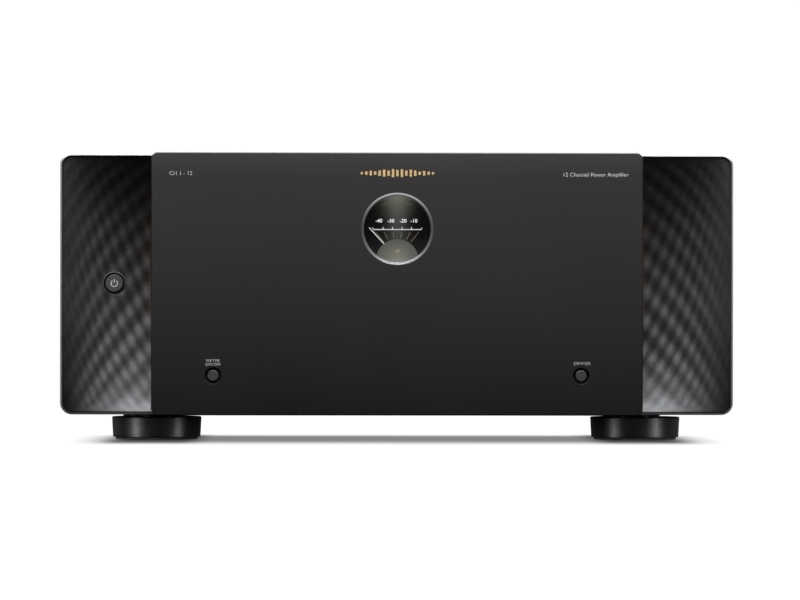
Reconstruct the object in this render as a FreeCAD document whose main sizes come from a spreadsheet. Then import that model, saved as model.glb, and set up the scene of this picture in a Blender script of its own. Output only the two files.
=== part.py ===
import FreeCAD, Part
import math
import os
import Sketcher
from FreeCAD import Placement, Rotation, Vector

# Twelve-channel power amplifier, desktop case on four round feet.
# Frame: millimetres, +Z up, front panel facing -Y, left is -X,
# origin on the floor at the centre of the footprint.

doc = FreeCAD.newDocument("power_amplifier")
sheet = doc.addObject("Spreadsheet::Sheet", "Params")

DRIVING = {
    # case envelope
    "body_w": 442, "base_z": 18, "mid_z": 103.5, "corner_rad": 8,
    # front plate that floats ahead of the case
    "face_w": 320.6, "face_low": 17.2, "face_high": 188.8, "face_y": -230, "face_thk": 7,
    "face_rad": 4.5, "face_cham": 0.6, "hole_cham": 0.35,
    # moulded front frame with its rim and raised plinth
    "rim_y": -216, "rim_low": 17.4, "rim_high": 189.5, "open_low": 18.9, "open_high": 187.3,
    "frame_back": -180, "frame_wall": 2, "frame_web": 2.5, "rim_round": 1.3,
    "plinth_w": 292, "plinth_lo": 26, "plinth_hi": 181, "plinth_wall": 2.5,
    # dished side panels
    "wing_in": 149, "wing_edge": 219, "wing_deep": 30, "wing_thk": 2.2, "wing_front": -215.2,
    # meter
    "meter_z": 138.9, "port_rad": 23.6, "bezel_rad": 23.5, "glass_rad": 21.85,
    "bezel_in": 21.9, "flange_rad": 27, "pivot_drop": 19, "needle_len": 27.3,
    "needle_rest": 42.6, "hub_drop": 20.4, "hub_rad": 13.9, "shaft_rad": 0.5,
    "shaft_bore": 0.55,
    # front buttons
    "button_x": 120, "button_z": 43.1, "button_rad": 3.65, "button_bore": 3.7,
    "button_hole": 5.3, "guide_rad": 5.25,
    # power button in the left side panel
    "power_x": -187.2, "power_z": 103.9, "power_rad": 5.85, "power_bore": 5.9,
    "power_ring": 7.75, "power_gap": 6.9,
    # sheet metal
    "cover_w": 438.8, "cover_top": 187.8, "cover_rad": 7.4, "cover_thk": 1.2,
    "cover_front": -179.7, "cover_back": 203, "base_thk": 1.5, "base_gap": 1.3,
    "panel_y": 203, "panel_thk": 1.5, "vent_w": 42, "vent_h": 3.4, "vent_pitch": 8.2,
    "vent_first": -130, "vent_rows": 35, "psu_vent_w": 62, "flange_h": 16,
    "screw_hole": 1.7, "side_screw_z": 28,
    # feet
    "foot_x": 160.7, "foot_front": -166, "foot_rear_x": 186, "foot_rear": 150,
    "foot_rad": 30, "foot_low": 29.3, "foot_under": 1.6, "foot_top": 15.2, "foot_bore": 2.2,
    "neck_rad": 16.8, "pad_rad": 27.6, "back_rad": 22, "back_low": 21.5, "back_neck": 14,
    "back_pad": 19.8,
    # rear connectors
    "chan_first": -197, "chan_pitch": 27.5, "xlr_z": 163, "rca_z": 133, "red_z": 98,
    "black_z": 66, "stud_rad": 3.5, "cap_bore": 3.55, "banana_rad": 2.05, "cap_rad": 7.6,
    "rca_rad": 4.15, "rca_pin": 1.6, "jack_rad": 1.8, "inlet_x": 168, "inlet_z": 52,
    "jack_one": 146, "jack_two": 170, "select_x": 158, "select_z": 133,
    # electronics
    "module_first": -183.25, "module_pitch": 55, "board_thk": 1.6, "sink_w": 34,
    "sink_h": 104, "sink_len": 230, "sink_y": -118, "psu_x": 123, "psu_w": 88,
    "psu_y": -168, "psu_z": 27, "psu_len": 345,
}


class Dim:
    """A length that carries its number and the sheet expression it comes from."""

    def __init__(self, text, value):
        self.text, self.value = text, float(value)

    @property
    def driven(self):
        return "Params." in self.text

    def __add__(self, other):
        other = dim(other)
        return Dim("(%s + %s)" % (self.text, other.text), self.value + other.value)

    def __sub__(self, other):
        other = dim(other)
        return Dim("(%s - %s)" % (self.text, other.text), self.value - other.value)

    def __mul__(self, other):
        other = dim(other)
        return Dim("(%s * %s)" % (self.text, other.text), self.value * other.value)

    __rmul__ = __mul__

    def __truediv__(self, other):
        other = dim(other)
        return Dim("(%s / %s)" % (self.text, other.text), self.value / other.value)

    def __neg__(self):
        return Dim("(0 - %s)" % self.text, -self.value)


def dim(x):
    return x if isinstance(x, Dim) else Dim(repr(float(x)), x)


class Sizes:
    """Every driving dimension as a Dim, under its alias."""


size = Sizes()
for line, (alias, number) in enumerate(DRIVING.items(), start=1):
    sheet.set("A%d" % line, alias)
    sheet.set("B%d" % line, str(number))
    sheet.setAlias("B%d" % line, alias)
    setattr(size, alias, Dim("Params." + alias, number))
doc.recompute()


# ================================================================ shared places
half_body = size.body_w / 2
half_cover = size.cover_w / 2
half_plinth = size.plinth_w / 2
plinth_front = size.face_y + size.face_thk
panel_face = size.panel_y + size.panel_thk  # outer face of the rear panel
psu_top = size.psu_z + size.board_thk

CHANNELS = [size.chan_first + k * size.chan_pitch for k in range(12)]
MODULES = [size.module_first + k * size.module_pitch for k in range(6)]

SIDE_SCREWS_Y = (-160, -48, 64, 176)
PANEL_SCREWS_X = (-205, -105, 0, 105, 205)
PANEL_SCREWS_Z = (182.4, 24)
INLET_SCREWS_X = (-20, 20)  # from the inlet's centre
XLR_SCREWS = ((-9.5, 12), (9.5, -12))  # x, z from the socket's centre
XLR_SCREW_HOLE = 1.5


# ================================================================ basic helpers
def vec(x, y, z):
    return Vector(dim(x).value, dim(y).value, dim(z).value)


def place(x, y, z, rotation=None):
    return Placement(vec(x, y, z), rotation or Rotation())


def bind(obj, prop, length):
    """Drives a property by the sheet if the length comes from it; returns its number."""
    length = dim(length)
    if length.driven:
        obj.setExpression(prop, length.text)
    return length.value


def add(kind, name):
    obj = doc.addObject(kind, name)
    obj.Label = name
    return obj


def new_body(name):
    return add("PartDesign::Body", name)


def origin(body, role):
    return [f for f in body.Origin.OriginFeatures if f.Role == role][0]


PIECES = []


def piece(obj):
    """Marks an object for export."""
    PIECES.append(obj)


# ================================================================ sketch helpers
def new_sketch(body, role, offset=0):
    """XY_Plane: x is X, y is Y. XZ_Plane: x is X, y is Z, its normal is -Y.
    YZ_Plane: x is Y, y is Z."""
    sketch = body.newObject("Sketcher::SketchObject", body.Name + "_sketch")
    sketch.AttachmentSupport = [(origin(body, role), "")]
    sketch.MapMode = "FlatFace"
    sketch.AttachmentOffset = place(0, 0, offset)
    bind(sketch, "AttachmentOffset.Base.z", offset)
    return sketch


def sketch_at_y(body, y=0):
    return new_sketch(body, "XZ_Plane", -dim(y))


def constrain(sketch, length, kind, *where):
    index = sketch.addConstraint(Sketcher.Constraint(kind, *where, length.value))
    if length.driven:
        sketch.setExpression("Constraints[%d]" % index, length.text)


def fix(sketch, geo, point, x, y):
    """Holds a point of a curve at x, y; a plain zero puts it on the sketch's axis."""
    for kind, length, axis in (("DistanceX", dim(x), -2), ("DistanceY", dim(y), -1)):
        if length.driven or length.value != 0:
            constrain(sketch, length, kind, -1, 1, geo, point)
        else:
            sketch.addConstraint(Sketcher.Constraint("PointOnObject", geo, point, axis))


def poly(sketch, points):
    first, count = sketch.GeometryCount, len(points)
    corners = [vec(x, y, 0) for x, y in points]
    lines = [Part.LineSegment(corners[i], corners[(i + 1) % count]) for i in range(count)]
    sketch.addGeometry(lines, False)
    for i in range(count):
        following = first + (i + 1) % count
        sketch.addConstraint(Sketcher.Constraint("Coincident", first + i, 2, following, 1))
    for i, (x, y) in enumerate(points):
        fix(sketch, first + i, 1, x, y)


def rect(sketch, x0, y0, x1, y1):
    poly(sketch, [(x0, y0), (x1, y0), (x1, y1), (x0, y1)])


def full_circle(x, y, radius):
    return Part.Circle(vec(x, y, 0), Vector(0, 0, 1), radius.value)


def circle(sketch, x, y, radius):
    radius = dim(radius)
    geo = sketch.addGeometry(full_circle(x, y, radius), False)
    fix(sketch, geo, 3, x, y)
    constrain(sketch, radius, "Radius", geo)


def circle_pair(sketch, x, y, radius):
    """Two equal circles, at -x and at x."""
    for side in (-1, 1):
        circle(sketch, side * x, y, radius)


def add_arc(sketch, x, y, radius, start, end):
    """An arc from start to end, in degrees."""
    arc = Part.ArcOfCircle(full_circle(x, y, radius), math.radians(start), math.radians(end))
    return sketch.addGeometry(arc, False)


def add_line(sketch, x0, y0, x1, y1):
    return sketch.addGeometry(Part.LineSegment(vec(x0, y0, 0), vec(x1, y1, 0)), False)


def slot(sketch, x, y, length, width):
    """A slot along the sketch's x, with round ends."""
    x, y, length, width = dim(x), dim(y), dim(length), dim(width)
    radius, half = width / 2, (length - width) / 2
    x0, x1 = x - half, x + half
    left = add_arc(sketch, x0, y, radius, 90, 270)
    right = add_arc(sketch, x1, y, radius, -90, 90)
    low = add_line(sketch, x0, y - radius, x1, y - radius)
    high = add_line(sketch, x1, y + radius, x0, y + radius)
    for one, other in ((left, low), (low, right), (right, high), (high, left)):
        sketch.addConstraint(Sketcher.Constraint("Tangent", one, 2, other, 1))
    fix(sketch, left, 3, x0, y)
    fix(sketch, right, 3, x1, y)
    constrain(sketch, radius, "Radius", left)


def round_rect(sketch, x0, y0, x1, y1, radius):
    x_lo, x_hi, y_lo, y_hi = x0 + radius, x1 - radius, y0 + radius, y1 - radius
    centres = [(x_hi, y_hi), (x_lo, y_hi), (x_lo, y_lo), (x_hi, y_lo)]
    arcs = [
        add_arc(sketch, x, y, radius, 90 * i, 90 * i + 90) for i, (x, y) in enumerate(centres)
    ]
    lines = [
        add_line(sketch, x_hi, y1, x_lo, y1),
        add_line(sketch, x0, y_hi, x0, y_lo),
        add_line(sketch, x_lo, y0, x_hi, y0),
        add_line(sketch, x1, y_lo, x1, y_hi),
    ]
    for i in range(4):
        sketch.addConstraint(Sketcher.Constraint("Tangent", arcs[i], 2, lines[i], 1))
        sketch.addConstraint(Sketcher.Constraint("Tangent", lines[i], 2, arcs[(i + 1) % 4], 1))
    for arc, (x, y) in zip(arcs, centres):
        fix(sketch, arc, 3, x, y)
        constrain(sketch, radius, "Radius", arc)


# ================================================================ feature helpers
def pad(body, sketch, length, back=False):
    """Grows along the sketch's normal, or against it (+Y on an XZ_Plane) with back=True."""
    feature = body.newObject("PartDesign::Pad", body.Name + "_pad")
    feature.Profile = sketch
    feature.Length = bind(feature, "Length", length)
    feature.Reversed = back


def pocket(body, sketch, length, front=False):
    """Cuts against the sketch's normal (+Y on an XZ_Plane), or along it with front=True.
    The volume must fall."""
    doc.recompute()
    before = body.Tip.Shape.Volume
    feature = body.newObject("PartDesign::Pocket", body.Name + "_pocket")
    feature.Profile = sketch
    feature.Type = 0
    feature.Length = bind(feature, "Length", length)
    feature.Reversed = front
    doc.recompute()
    if not feature.Shape.Volume < before - 1e-6:
        raise RuntimeError(body.Name + ": a pocket cut nothing")
    return feature


def turned(name, role, points):
    """A body turned about its sketch's y axis: Y on the XY_Plane, Z on the XZ_Plane.
    The points are radius and place along that axis."""
    body = new_body(name)
    sketch = new_sketch(body, role)
    poly(sketch, points)
    feature = body.newObject("PartDesign::Revolution", body.Name + "_turn")
    feature.Profile = sketch
    feature.ReferenceAxis = (sketch, ["V_Axis"])
    feature.Angle = 360
    return body


def dress(body, kind, prop, test, amount):
    """A fillet or a chamfer on every edge that passes the test."""
    doc.recompute()
    base = body.Tip
    names = ["Edge%d" % (i + 1) for i, edge in enumerate(base.Shape.Edges) if test(edge)]
    if not names:
        raise RuntimeError(body.Name + ": no edge matches")
    feature = body.newObject("PartDesign::" + kind, body.Name + "_" + kind.lower())
    feature.Base = (base, names)
    setattr(feature, prop, bind(feature, prop, amount))


def fillet(body, test, radius):
    dress(body, "Fillet", "Radius", test, radius)


def chamfer(body, test, width):
    dress(body, "Chamfer", "Size", test, width)


def row(body, original, axis, pitch, count):
    feature = body.newObject("PartDesign::LinearPattern", body.Name + "_row")
    feature.Originals = [original]
    feature.Direction = (origin(body, axis), [""])
    feature.Length = bind(feature, "Length", dim(pitch) * (dim(count) - 1))
    feature.Occurrences = int(dim(count).value)
    body.Tip = feature


def ring(body, original, axis, count):
    feature = body.newObject("PartDesign::PolarPattern", body.Name + "_ring")
    feature.Originals = [original]
    feature.Axis = (origin(body, axis), [""])
    feature.Angle = 360
    feature.Occurrences = count
    body.Tip = feature


def straight(edge, *still_axes):
    """True for a straight edge whose ends agree in these axes."""
    if edge.Curve.TypeId != "Part::GeomLine":
        return False
    step = edge.Vertexes[0].Point - edge.Vertexes[-1].Point
    return all(abs(getattr(step, axis)) < 1e-6 for axis in still_axes)


def along_y(edge):
    return straight(edge, "x", "z")


def along_z(edge):
    return straight(edge, "x", "y")


def in_plane_y(edge, y):
    y = dim(y).value
    ends_in_plane = all(abs(vertex.Point.y - y) < 1e-4 for vertex in edge.Vertexes)
    return ends_in_plane and abs(edge.CenterOfMass.y - y) < 1e-4


# ================================================================ object helpers
def move(obj, x=0, y=0, z=0, rotation=None):
    obj.Placement = place(x, y, z, rotation)
    for axis, length in (("x", x), ("y", y), ("z", z)):
        bind(obj, "Placement.Base." + axis, length)
    return obj


def box(name, x, y, z, dx, dy, dz):
    block = add("Part::Box", name)
    block.Length = bind(block, "Length", dx)
    block.Width = bind(block, "Width", dy)
    block.Height = bind(block, "Height", dz)
    return move(block, x, y, z)


def barrel(name, x, y, z, radius, length):
    """A cylinder that runs from y towards +Y."""
    cylinder = add("Part::Cylinder", name)
    cylinder.Radius = bind(cylinder, "Radius", radius)
    cylinder.Height = bind(cylinder, "Height", length)
    return move(cylinder, x, y, z, Rotation(Vector(1, 0, 0), -90))


def collect(name, members):
    group = add("Part::Compound", name)
    group.Links = members
    piece(group)


def shape_piece(name, shape):
    feature = add("Part::Feature", name)
    feature.Shape = shape
    piece(feature)


def placed(master, placement):
    shape = master.Shape.copy()
    shape.Placement = placement.multiply(shape.Placement)
    return shape


def repeated(name, *groups):
    """One piece from sets of equal solids; each group is a master and its placements."""
    doc.recompute()
    shapes = [placed(master, spot) for master, spots in groups for spot in spots]
    shape_piece(name, Part.makeCompound(shapes))


# ================================================================ front plate and frame
def fascia_plate():
    body = new_body("fascia_plate")
    sketch = sketch_at_y(body, size.face_y)
    rect(sketch, -size.face_w / 2, size.face_low, size.face_w / 2, size.face_high)
    pad(body, sketch, size.face_thk, back=True)
    fillet(body, along_y, size.face_rad)
    chamfer(body, lambda edge: in_plane_y(edge, size.face_y), size.face_cham)
    sketch = sketch_at_y(body, size.face_y)
    circle(sketch, 0, size.meter_z, size.port_rad)
    circle_pair(sketch, size.button_x, size.button_z, size.button_hole)
    pocket(body, sketch, size.face_thk + 1)

    def button_hole_rim(edge):
        return (
            in_plane_y(edge, size.face_y)
            and edge.Curve.TypeId == "Part::GeomCircle"
            and abs(edge.Curve.Radius - size.button_hole.value) < 0.01
        )

    chamfer(body, button_hole_rim, size.hole_cham)
    piece(body)


def front_frame():
    tube_front, tube_len, bore_len = -226, 8, 12
    stem_hole = 3.5
    frame_depth = size.frame_back - size.rim_y
    body = new_body("front_frame")
    sketch = sketch_at_y(body, size.rim_y)
    rect(sketch, -half_body, size.rim_low, half_body, size.rim_high)
    pad(body, sketch, frame_depth, back=True)
    fillet(body, along_y, size.corner_rad)
    fillet(body, lambda edge: in_plane_y(edge, size.rim_y), size.rim_round)
    sketch = sketch_at_y(body, size.rim_y)
    round_rect(
        sketch, -size.wing_edge, size.open_low, size.wing_edge, size.open_high,
        size.corner_rad - size.frame_wall,
    )
    pocket(body, sketch, frame_depth - size.frame_web)
    # plinth that carries the front plate, hollow from behind
    sketch = sketch_at_y(body, plinth_front)
    rect(sketch, -half_plinth, size.plinth_lo, half_plinth, size.plinth_hi)
    pad(body, sketch, size.frame_back - plinth_front - 1, back=True)
    sketch = sketch_at_y(body, size.frame_back)
    wall = size.plinth_wall
    rect(
        sketch, -half_plinth + wall, size.plinth_lo + wall,
        half_plinth - wall, size.plinth_hi - wall,
    )
    pocket(body, sketch, size.frame_back - plinth_front - wall, front=True)
    # guide tubes for the two front buttons
    sketch = sketch_at_y(body, tube_front)
    circle_pair(sketch, size.button_x, size.button_z, size.guide_rad)
    pad(body, sketch, tube_len, back=True)
    sketch = sketch_at_y(body, tube_front - 1)
    circle_pair(sketch, size.button_x, size.button_z, size.button_bore)
    pocket(body, sketch, bore_len)
    # meter port, and the hole for the power button's stem in the web
    sketch = sketch_at_y(body, plinth_front - 1)
    circle(sketch, 0, size.meter_z, size.flange_rad + 0.2)
    pocket(body, sketch, 6)
    sketch = sketch_at_y(body, -185)
    circle(sketch, size.power_x, size.power_z, stem_hole)
    pocket(body, sketch, 8)
    # shallow recesses under the frame that clear the necks of the front feet
    sketch = new_sketch(body, "XY_Plane", size.base_z)
    circle_pair(sketch, size.foot_x, size.foot_front, size.neck_rad + 0.4)
    pocket(body, sketch, 1)
    piece(body)


# ================================================================ dished side panels
DISH_HALF_HEIGHT = 83.7  # the dish is deepest at mid_z and fades out this far above and below
SKIN_LOW, SKIN_HIGH = 18.75, 187.45  # the skin is drawn a little past the trimmed panel
SKIN_COLUMNS, SKIN_ROWS = 22, 24
TRIM_FRONT, TRIM_DEPTH = -222, 60
POSTS = ((158, 45), (158, 162), (208, 45), (208, 162))  # distance from the middle, z
POST_RAD = 3


def dish_y(x, z):
    """Front surface of a side panel: shallow at its outer, upper and lower edges,
    deepest beside the plinth."""
    rim = size.wing_edge.value + 0.2
    inward = (rim - abs(x)) / (rim - size.wing_in.value)
    inward = min(max(inward, 0.0), 1.0)
    up = (z - size.mid_z.value) / DISH_HALF_HEIGHT
    fade = (1 - (1 - inward) ** 3.2) * max(0.0, 1 - up * up)
    return size.wing_front.value + size.wing_deep.value * fade


def wing_surface(side):
    """The dished front surface; its columns crowd towards the outer edge."""
    x_start = size.wing_in.value - 1
    x_end = size.wing_edge.value - 0.1 + 0.19
    step = (SKIN_HIGH - SKIN_LOW) / SKIN_ROWS
    heights = [SKIN_LOW + step * k for k in range(SKIN_ROWS + 1)]
    grid = []
    for i in range(SKIN_COLUMNS + 1):
        x = x_start + (x_end - x_start) * (1 - (1 - i / SKIN_COLUMNS) ** 1.4)
        grid.append([Vector(side * x, dish_y(x, z), z) for z in heights])
    surface = Part.BSplineSurface()
    surface.interpolate(grid)
    return surface.toShape()


def wing(side):
    x_in, x_out = size.wing_in.value, size.wing_edge.value - 0.1
    low, high = size.open_low.value + 0.1, size.open_high.value - 0.1
    surface = wing_surface(side)
    skin = surface.extrude(Vector(0, size.wing_thk.value, 0))
    x0, x1 = sorted((side * x_in, side * x_out))
    block = Part.makeBox(x1 - x0, TRIM_DEPTH, high - low, Vector(x0, TRIM_FRONT, low))
    outer_corners = [
        edge for edge in block.Edges
        if along_y(edge) and abs(abs(edge.CenterOfMass.x) - x_out) < 1e-6
    ]
    corner = size.corner_rad.value - size.frame_wall.value - 0.1
    shell = skin.common(block.makeFillet(corner, outer_corners))
    # posts that stand the skin off the frame's web
    behind = surface.extrude(Vector(0, 80, 0)).common(block)
    post_len = size.frame_back.value - size.frame_web.value - TRIM_FRONT
    to_back = Vector(0, 1, 0)
    posts = []
    for x, z in POSTS:
        rod = Part.makeCylinder(POST_RAD, post_len, Vector(side * x, TRIM_FRONT, z), to_back)
        posts.append(rod.common(behind))
    shape = shell.fuse(posts)
    if side < 0:
        start = vec(size.power_x, TRIM_FRONT, size.power_z)
        hole = size.power_ring.value + 0.05
        shape = shape.cut(Part.makeCylinder(hole, TRIM_DEPTH, start, to_back))
    return shape.removeSplitter()


def wing_panels():
    for name, side in (("wing_panel_left", -1), ("wing_panel_right", 1)):
        shape = wing(side)
        if len(shape.Solids) != 1:
            raise RuntimeError("%s has %d solids" % (name, len(shape.Solids)))
        shape_piece(name, shape)


# ================================================================ meter
pivot_z = size.meter_z - size.pivot_drop


def meter_bezel():
    front, outer, inner = size.face_y, size.bezel_rad, size.bezel_in
    body = turned("meter_bezel", "XY_Plane", [
        (outer, front), (outer, front + 7), (size.flange_rad, front + 7),
        (size.flange_rad, front + 8.5), (inner, front + 8.5), (inner, front + 1.9),
        (outer - 0.25, front),
    ])
    piece(move(body, 0, 0, size.meter_z))


def meter_lens():
    front, back, radius = size.face_y + 2.4, size.face_y + 3.9, size.glass_rad
    body = turned("meter_lens", "XY_Plane", [
        (0, front), (radius - 0.3, front), (radius, front + 0.3), (radius, back), (0, back),
    ])
    piece(move(body, 0, 0, size.meter_z))


def meter_dial():
    front = size.face_y + 6.4
    body = new_body("meter_dial")
    sketch = sketch_at_y(body, front)
    circle(sketch, 0, size.meter_z, size.glass_rad)
    pad(body, sketch, 1, back=True)
    sketch = sketch_at_y(body, front)
    circle(sketch, 0, pivot_z, 0.9)
    pocket(body, sketch, 2)
    piece(body)


def meter_hub_cover():
    """Cover over the needle's pivot: a disc clipped by a circle just inside the dial's,
    on two pegs."""
    front = size.face_y + 4.3
    peg_x, peg_rad, peg_len = 9.5, 0.8, 1.4
    disc_z = size.meter_z - size.hub_drop
    plate = add("Part::Common", "hub_plate")
    plate.Base = barrel("hub_disc", 0, front, disc_z, size.hub_rad, 0.8)
    plate.Tool = barrel("hub_clip", 0, front - 0.1, size.meter_z, size.glass_rad - 0.15, 1.0)
    pegs = [
        barrel("hub_peg_%d" % i, side * peg_x, front + 0.7, pivot_z + 0.4, peg_rad, peg_len)
        for i, side in enumerate((-1, 1))
    ]
    cover = add("Part::MultiFuse", "meter_hub_cover")
    cover.Shapes = [plate] + pegs
    piece(cover)


def meter_needle():
    """Drawn upright about its shaft and turned back to its rest stop."""
    root_half, tip_half = 0.42, 0.3
    body = new_body("meter_needle")
    sketch = sketch_at_y(body, 5.5)
    poly(sketch, [
        (-root_half, 0), (root_half, 0),
        (tip_half, size.needle_len), (-tip_half, size.needle_len),
    ])
    pad(body, sketch, 0.4, back=True)
    # y, radius and length of the boss and of the shaft behind it
    for y, radius, length in ((5.5, 1.6, 0.5), (5.7, size.shaft_rad, 17)):
        sketch = sketch_at_y(body, y)
        circle(sketch, 0, 0, radius)
        pad(body, sketch, length, back=True)
    rest = Rotation(Vector(0, 1, 0), -size.needle_rest.value)
    piece(move(body, 0, size.face_y, pivot_z, rest))


def meter_movement():
    half_width = 20
    body = new_body("meter_movement")
    sketch = sketch_at_y(body, size.face_y + 7.4)
    circle(sketch, 0, size.meter_z, size.glass_rad - 0.05)
    pad(body, sketch, 2.6, back=True)
    sketch = sketch_at_y(body, size.face_y + 10)
    rect(sketch, -half_width, size.meter_z - 30, half_width, size.meter_z + 14)
    pad(body, sketch, 20, back=True)
    fillet(
        body,
        lambda edge: along_y(edge) and abs(abs(edge.CenterOfMass.x) - half_width) < 1e-3,
        3,
    )
    sketch = sketch_at_y(body, size.face_y + 7)
    circle(sketch, 0, pivot_z, size.shaft_bore)
    pocket(body, sketch, 18)
    piece(body)


# ================================================================ buttons and their boards
def front_buttons():
    radius = size.button_rad
    for name, side in (("meter_button", -1), ("dimmer_button", 1)):
        body = turned(name, "XY_Plane", [
            (0, 0.3), (radius - 0.45, 0.3), (radius, 0.75), (radius, 12.1), (5, 12.1),
            (5, 13.6), (2, 13.6), (2, 16), (0, 16),
        ])
        piece(move(body, side * size.button_x, size.face_y, size.button_z))


def power_button():
    radius = size.power_rad
    body = turned("power_button", "XY_Plane", [
        (0, -193.6), (radius - 0.5, -193.6), (radius, -193.1), (radius, -186), (3, -186),
        (3, -179.95), (5, -179.95), (5, -178.2), (2.4, -178.2), (2.4, -172), (0, -172),
    ])
    piece(move(body, size.power_x, 0, size.power_z))


def power_button_bezel():
    outer, bore, gap = size.power_ring, size.power_bore, size.power_gap
    body = turned("power_button_bezel", "XY_Plane", [
        (gap + 0.15, -193.2), (outer - 0.3, -193.2), (outer, -192.9), (outer, -182.5),
        (bore, -182.5), (bore, -191), (gap, -191), (gap, -193.0),
    ])
    piece(move(body, size.power_x, 0, size.power_z))


def front_control_board():
    """A strip behind the plinth's front wall and a small board behind the power button,
    with their push switches."""
    button_x, button_z, power_x, power_z = size.button_x, size.button_z, size.power_x, size.power_z
    thick = size.board_thk
    members = [
        box("control_pcb", -134, -206, 30, 268, thick, 30),
        box("power_pcb", power_x - 13, -163, power_z - 13, 26, thick, 26),
    ]
    for i, side in enumerate((-1, 1)):
        x = side * button_x
        members += [
            box("tact_body_%d" % i, x - 3.1, -209.5, button_z - 3.1, 6.2, 3.5, 6.2),
            barrel("tact_stem_%d" % i, x, -212.4, button_z, 1.75, 2.9),
        ]
    members += [
        box("mains_switch", power_x - 6, -168.8, power_z - 6, 12, 5.8, 12),
        barrel("mains_stem", power_x, -169.8, power_z, 2.2, 1.0),
        box("board_plug", -20, -204.4, 36, 22, 8, 7),
    ]
    collect("front_control_board", members)


def light_strips():
    """Light strips on the plinth's flanks."""
    strip_thk, lamp_thk = 1.2, 1.0
    lamp_first, lamp_pitch, lamp_count = 40, 15.6, 9
    strips = []
    for i, side in enumerate((-1, 1)):
        strip_x = half_plinth if side > 0 else -half_plinth - strip_thk
        lamp_x = strip_x + strip_thk if side > 0 else strip_x - lamp_thk
        strips.append(box("strip_pcb_%d" % i, strip_x, -213, 32, strip_thk, 8, 143))
        for k in range(lamp_count):
            z = lamp_first + lamp_pitch * k
            strips.append(box("strip_lamp_%d_%d" % (i, k), lamp_x, -211, z, lamp_thk, 4, 3))
    collect("light_strips", strips)


# ================================================================ sheet metal
def side_screw_holes(body):
    """Holes through both side walls, cut from beyond the left one."""
    sketch = new_sketch(body, "YZ_Plane", -size.body_w)
    for y in SIDE_SCREWS_Y:
        circle(sketch, y, size.side_screw_z, size.screw_hole)
    pocket(body, sketch, 900, front=True)


def top_cover():
    depth = size.cover_back - size.cover_front
    wall = size.cover_thk
    body = new_body("top_cover")
    sketch = sketch_at_y(body, size.cover_front)
    rect(sketch, -half_cover, size.base_z + 1, half_cover, size.cover_top)
    pad(body, sketch, depth, back=True)
    fillet(body, lambda edge: along_y(edge) and edge.CenterOfMass.z > 180, size.cover_rad)
    # hollow, open in front, behind and below
    sketch = sketch_at_y(body, size.cover_front)
    round_rect(
        sketch, -half_cover + wall, size.base_z - 40, half_cover - wall,
        size.cover_top - wall, size.cover_rad - wall,
    )
    pocket(body, sketch, depth)
    # vent slots: one column over each amplifier module, and a wider one over the supply
    sketch = new_sketch(body, "XY_Plane", size.cover_top)
    for x in MODULES:
        slot(sketch, x, size.vent_first, size.vent_w, size.vent_h)
    psu_middle = size.psu_x + size.psu_w / 2
    slot(sketch, psu_middle, size.vent_first, size.psu_vent_w, size.vent_h)
    cut = pocket(body, sketch, 4)
    row(body, cut, "Y_Axis", size.vent_pitch, size.vent_rows)
    side_screw_holes(body)
    piece(body)


def chassis_base():
    half = half_cover - size.base_gap
    front = size.cover_front + 0.2
    top = size.base_z + size.base_thk
    body = new_body("chassis_base")
    sketch = new_sketch(body, "XY_Plane", size.base_z)
    rect(sketch, -half, front, half, size.panel_y)
    pad(body, sketch, size.base_thk)
    # side flanges, then the lower front one
    for side in (-1, 1):
        sketch = new_sketch(body, "XY_Plane", size.base_z)
        rect(sketch, side * (half - size.base_thk), front, side * half, size.panel_y)
        pad(body, sketch, size.flange_h)
    sketch = new_sketch(body, "XY_Plane", size.base_z)
    rect(sketch, -half, front, half, size.cover_front + 1.7)
    pad(body, sketch, size.flange_h - 4)
    # holes for the feet's screws
    sketch = new_sketch(body, "XY_Plane", top)
    circle_pair(sketch, size.foot_x, size.foot_front, size.foot_bore)
    circle_pair(sketch, size.foot_rear_x, size.foot_rear, size.foot_bore)
    pocket(body, sketch, 4)
    # slots that let air in below the modules
    slot_first, slot_len, slot_width, slot_pitch, slot_rows = -110, 40, 4, 11, 20
    sketch = new_sketch(body, "XY_Plane", top)
    for x in MODULES:
        slot(sketch, x, slot_first, slot_len, slot_width)
    cut = pocket(body, sketch, 4)
    row(body, cut, "Y_Axis", slot_pitch, slot_rows)
    side_screw_holes(body)
    piece(body)


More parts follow.
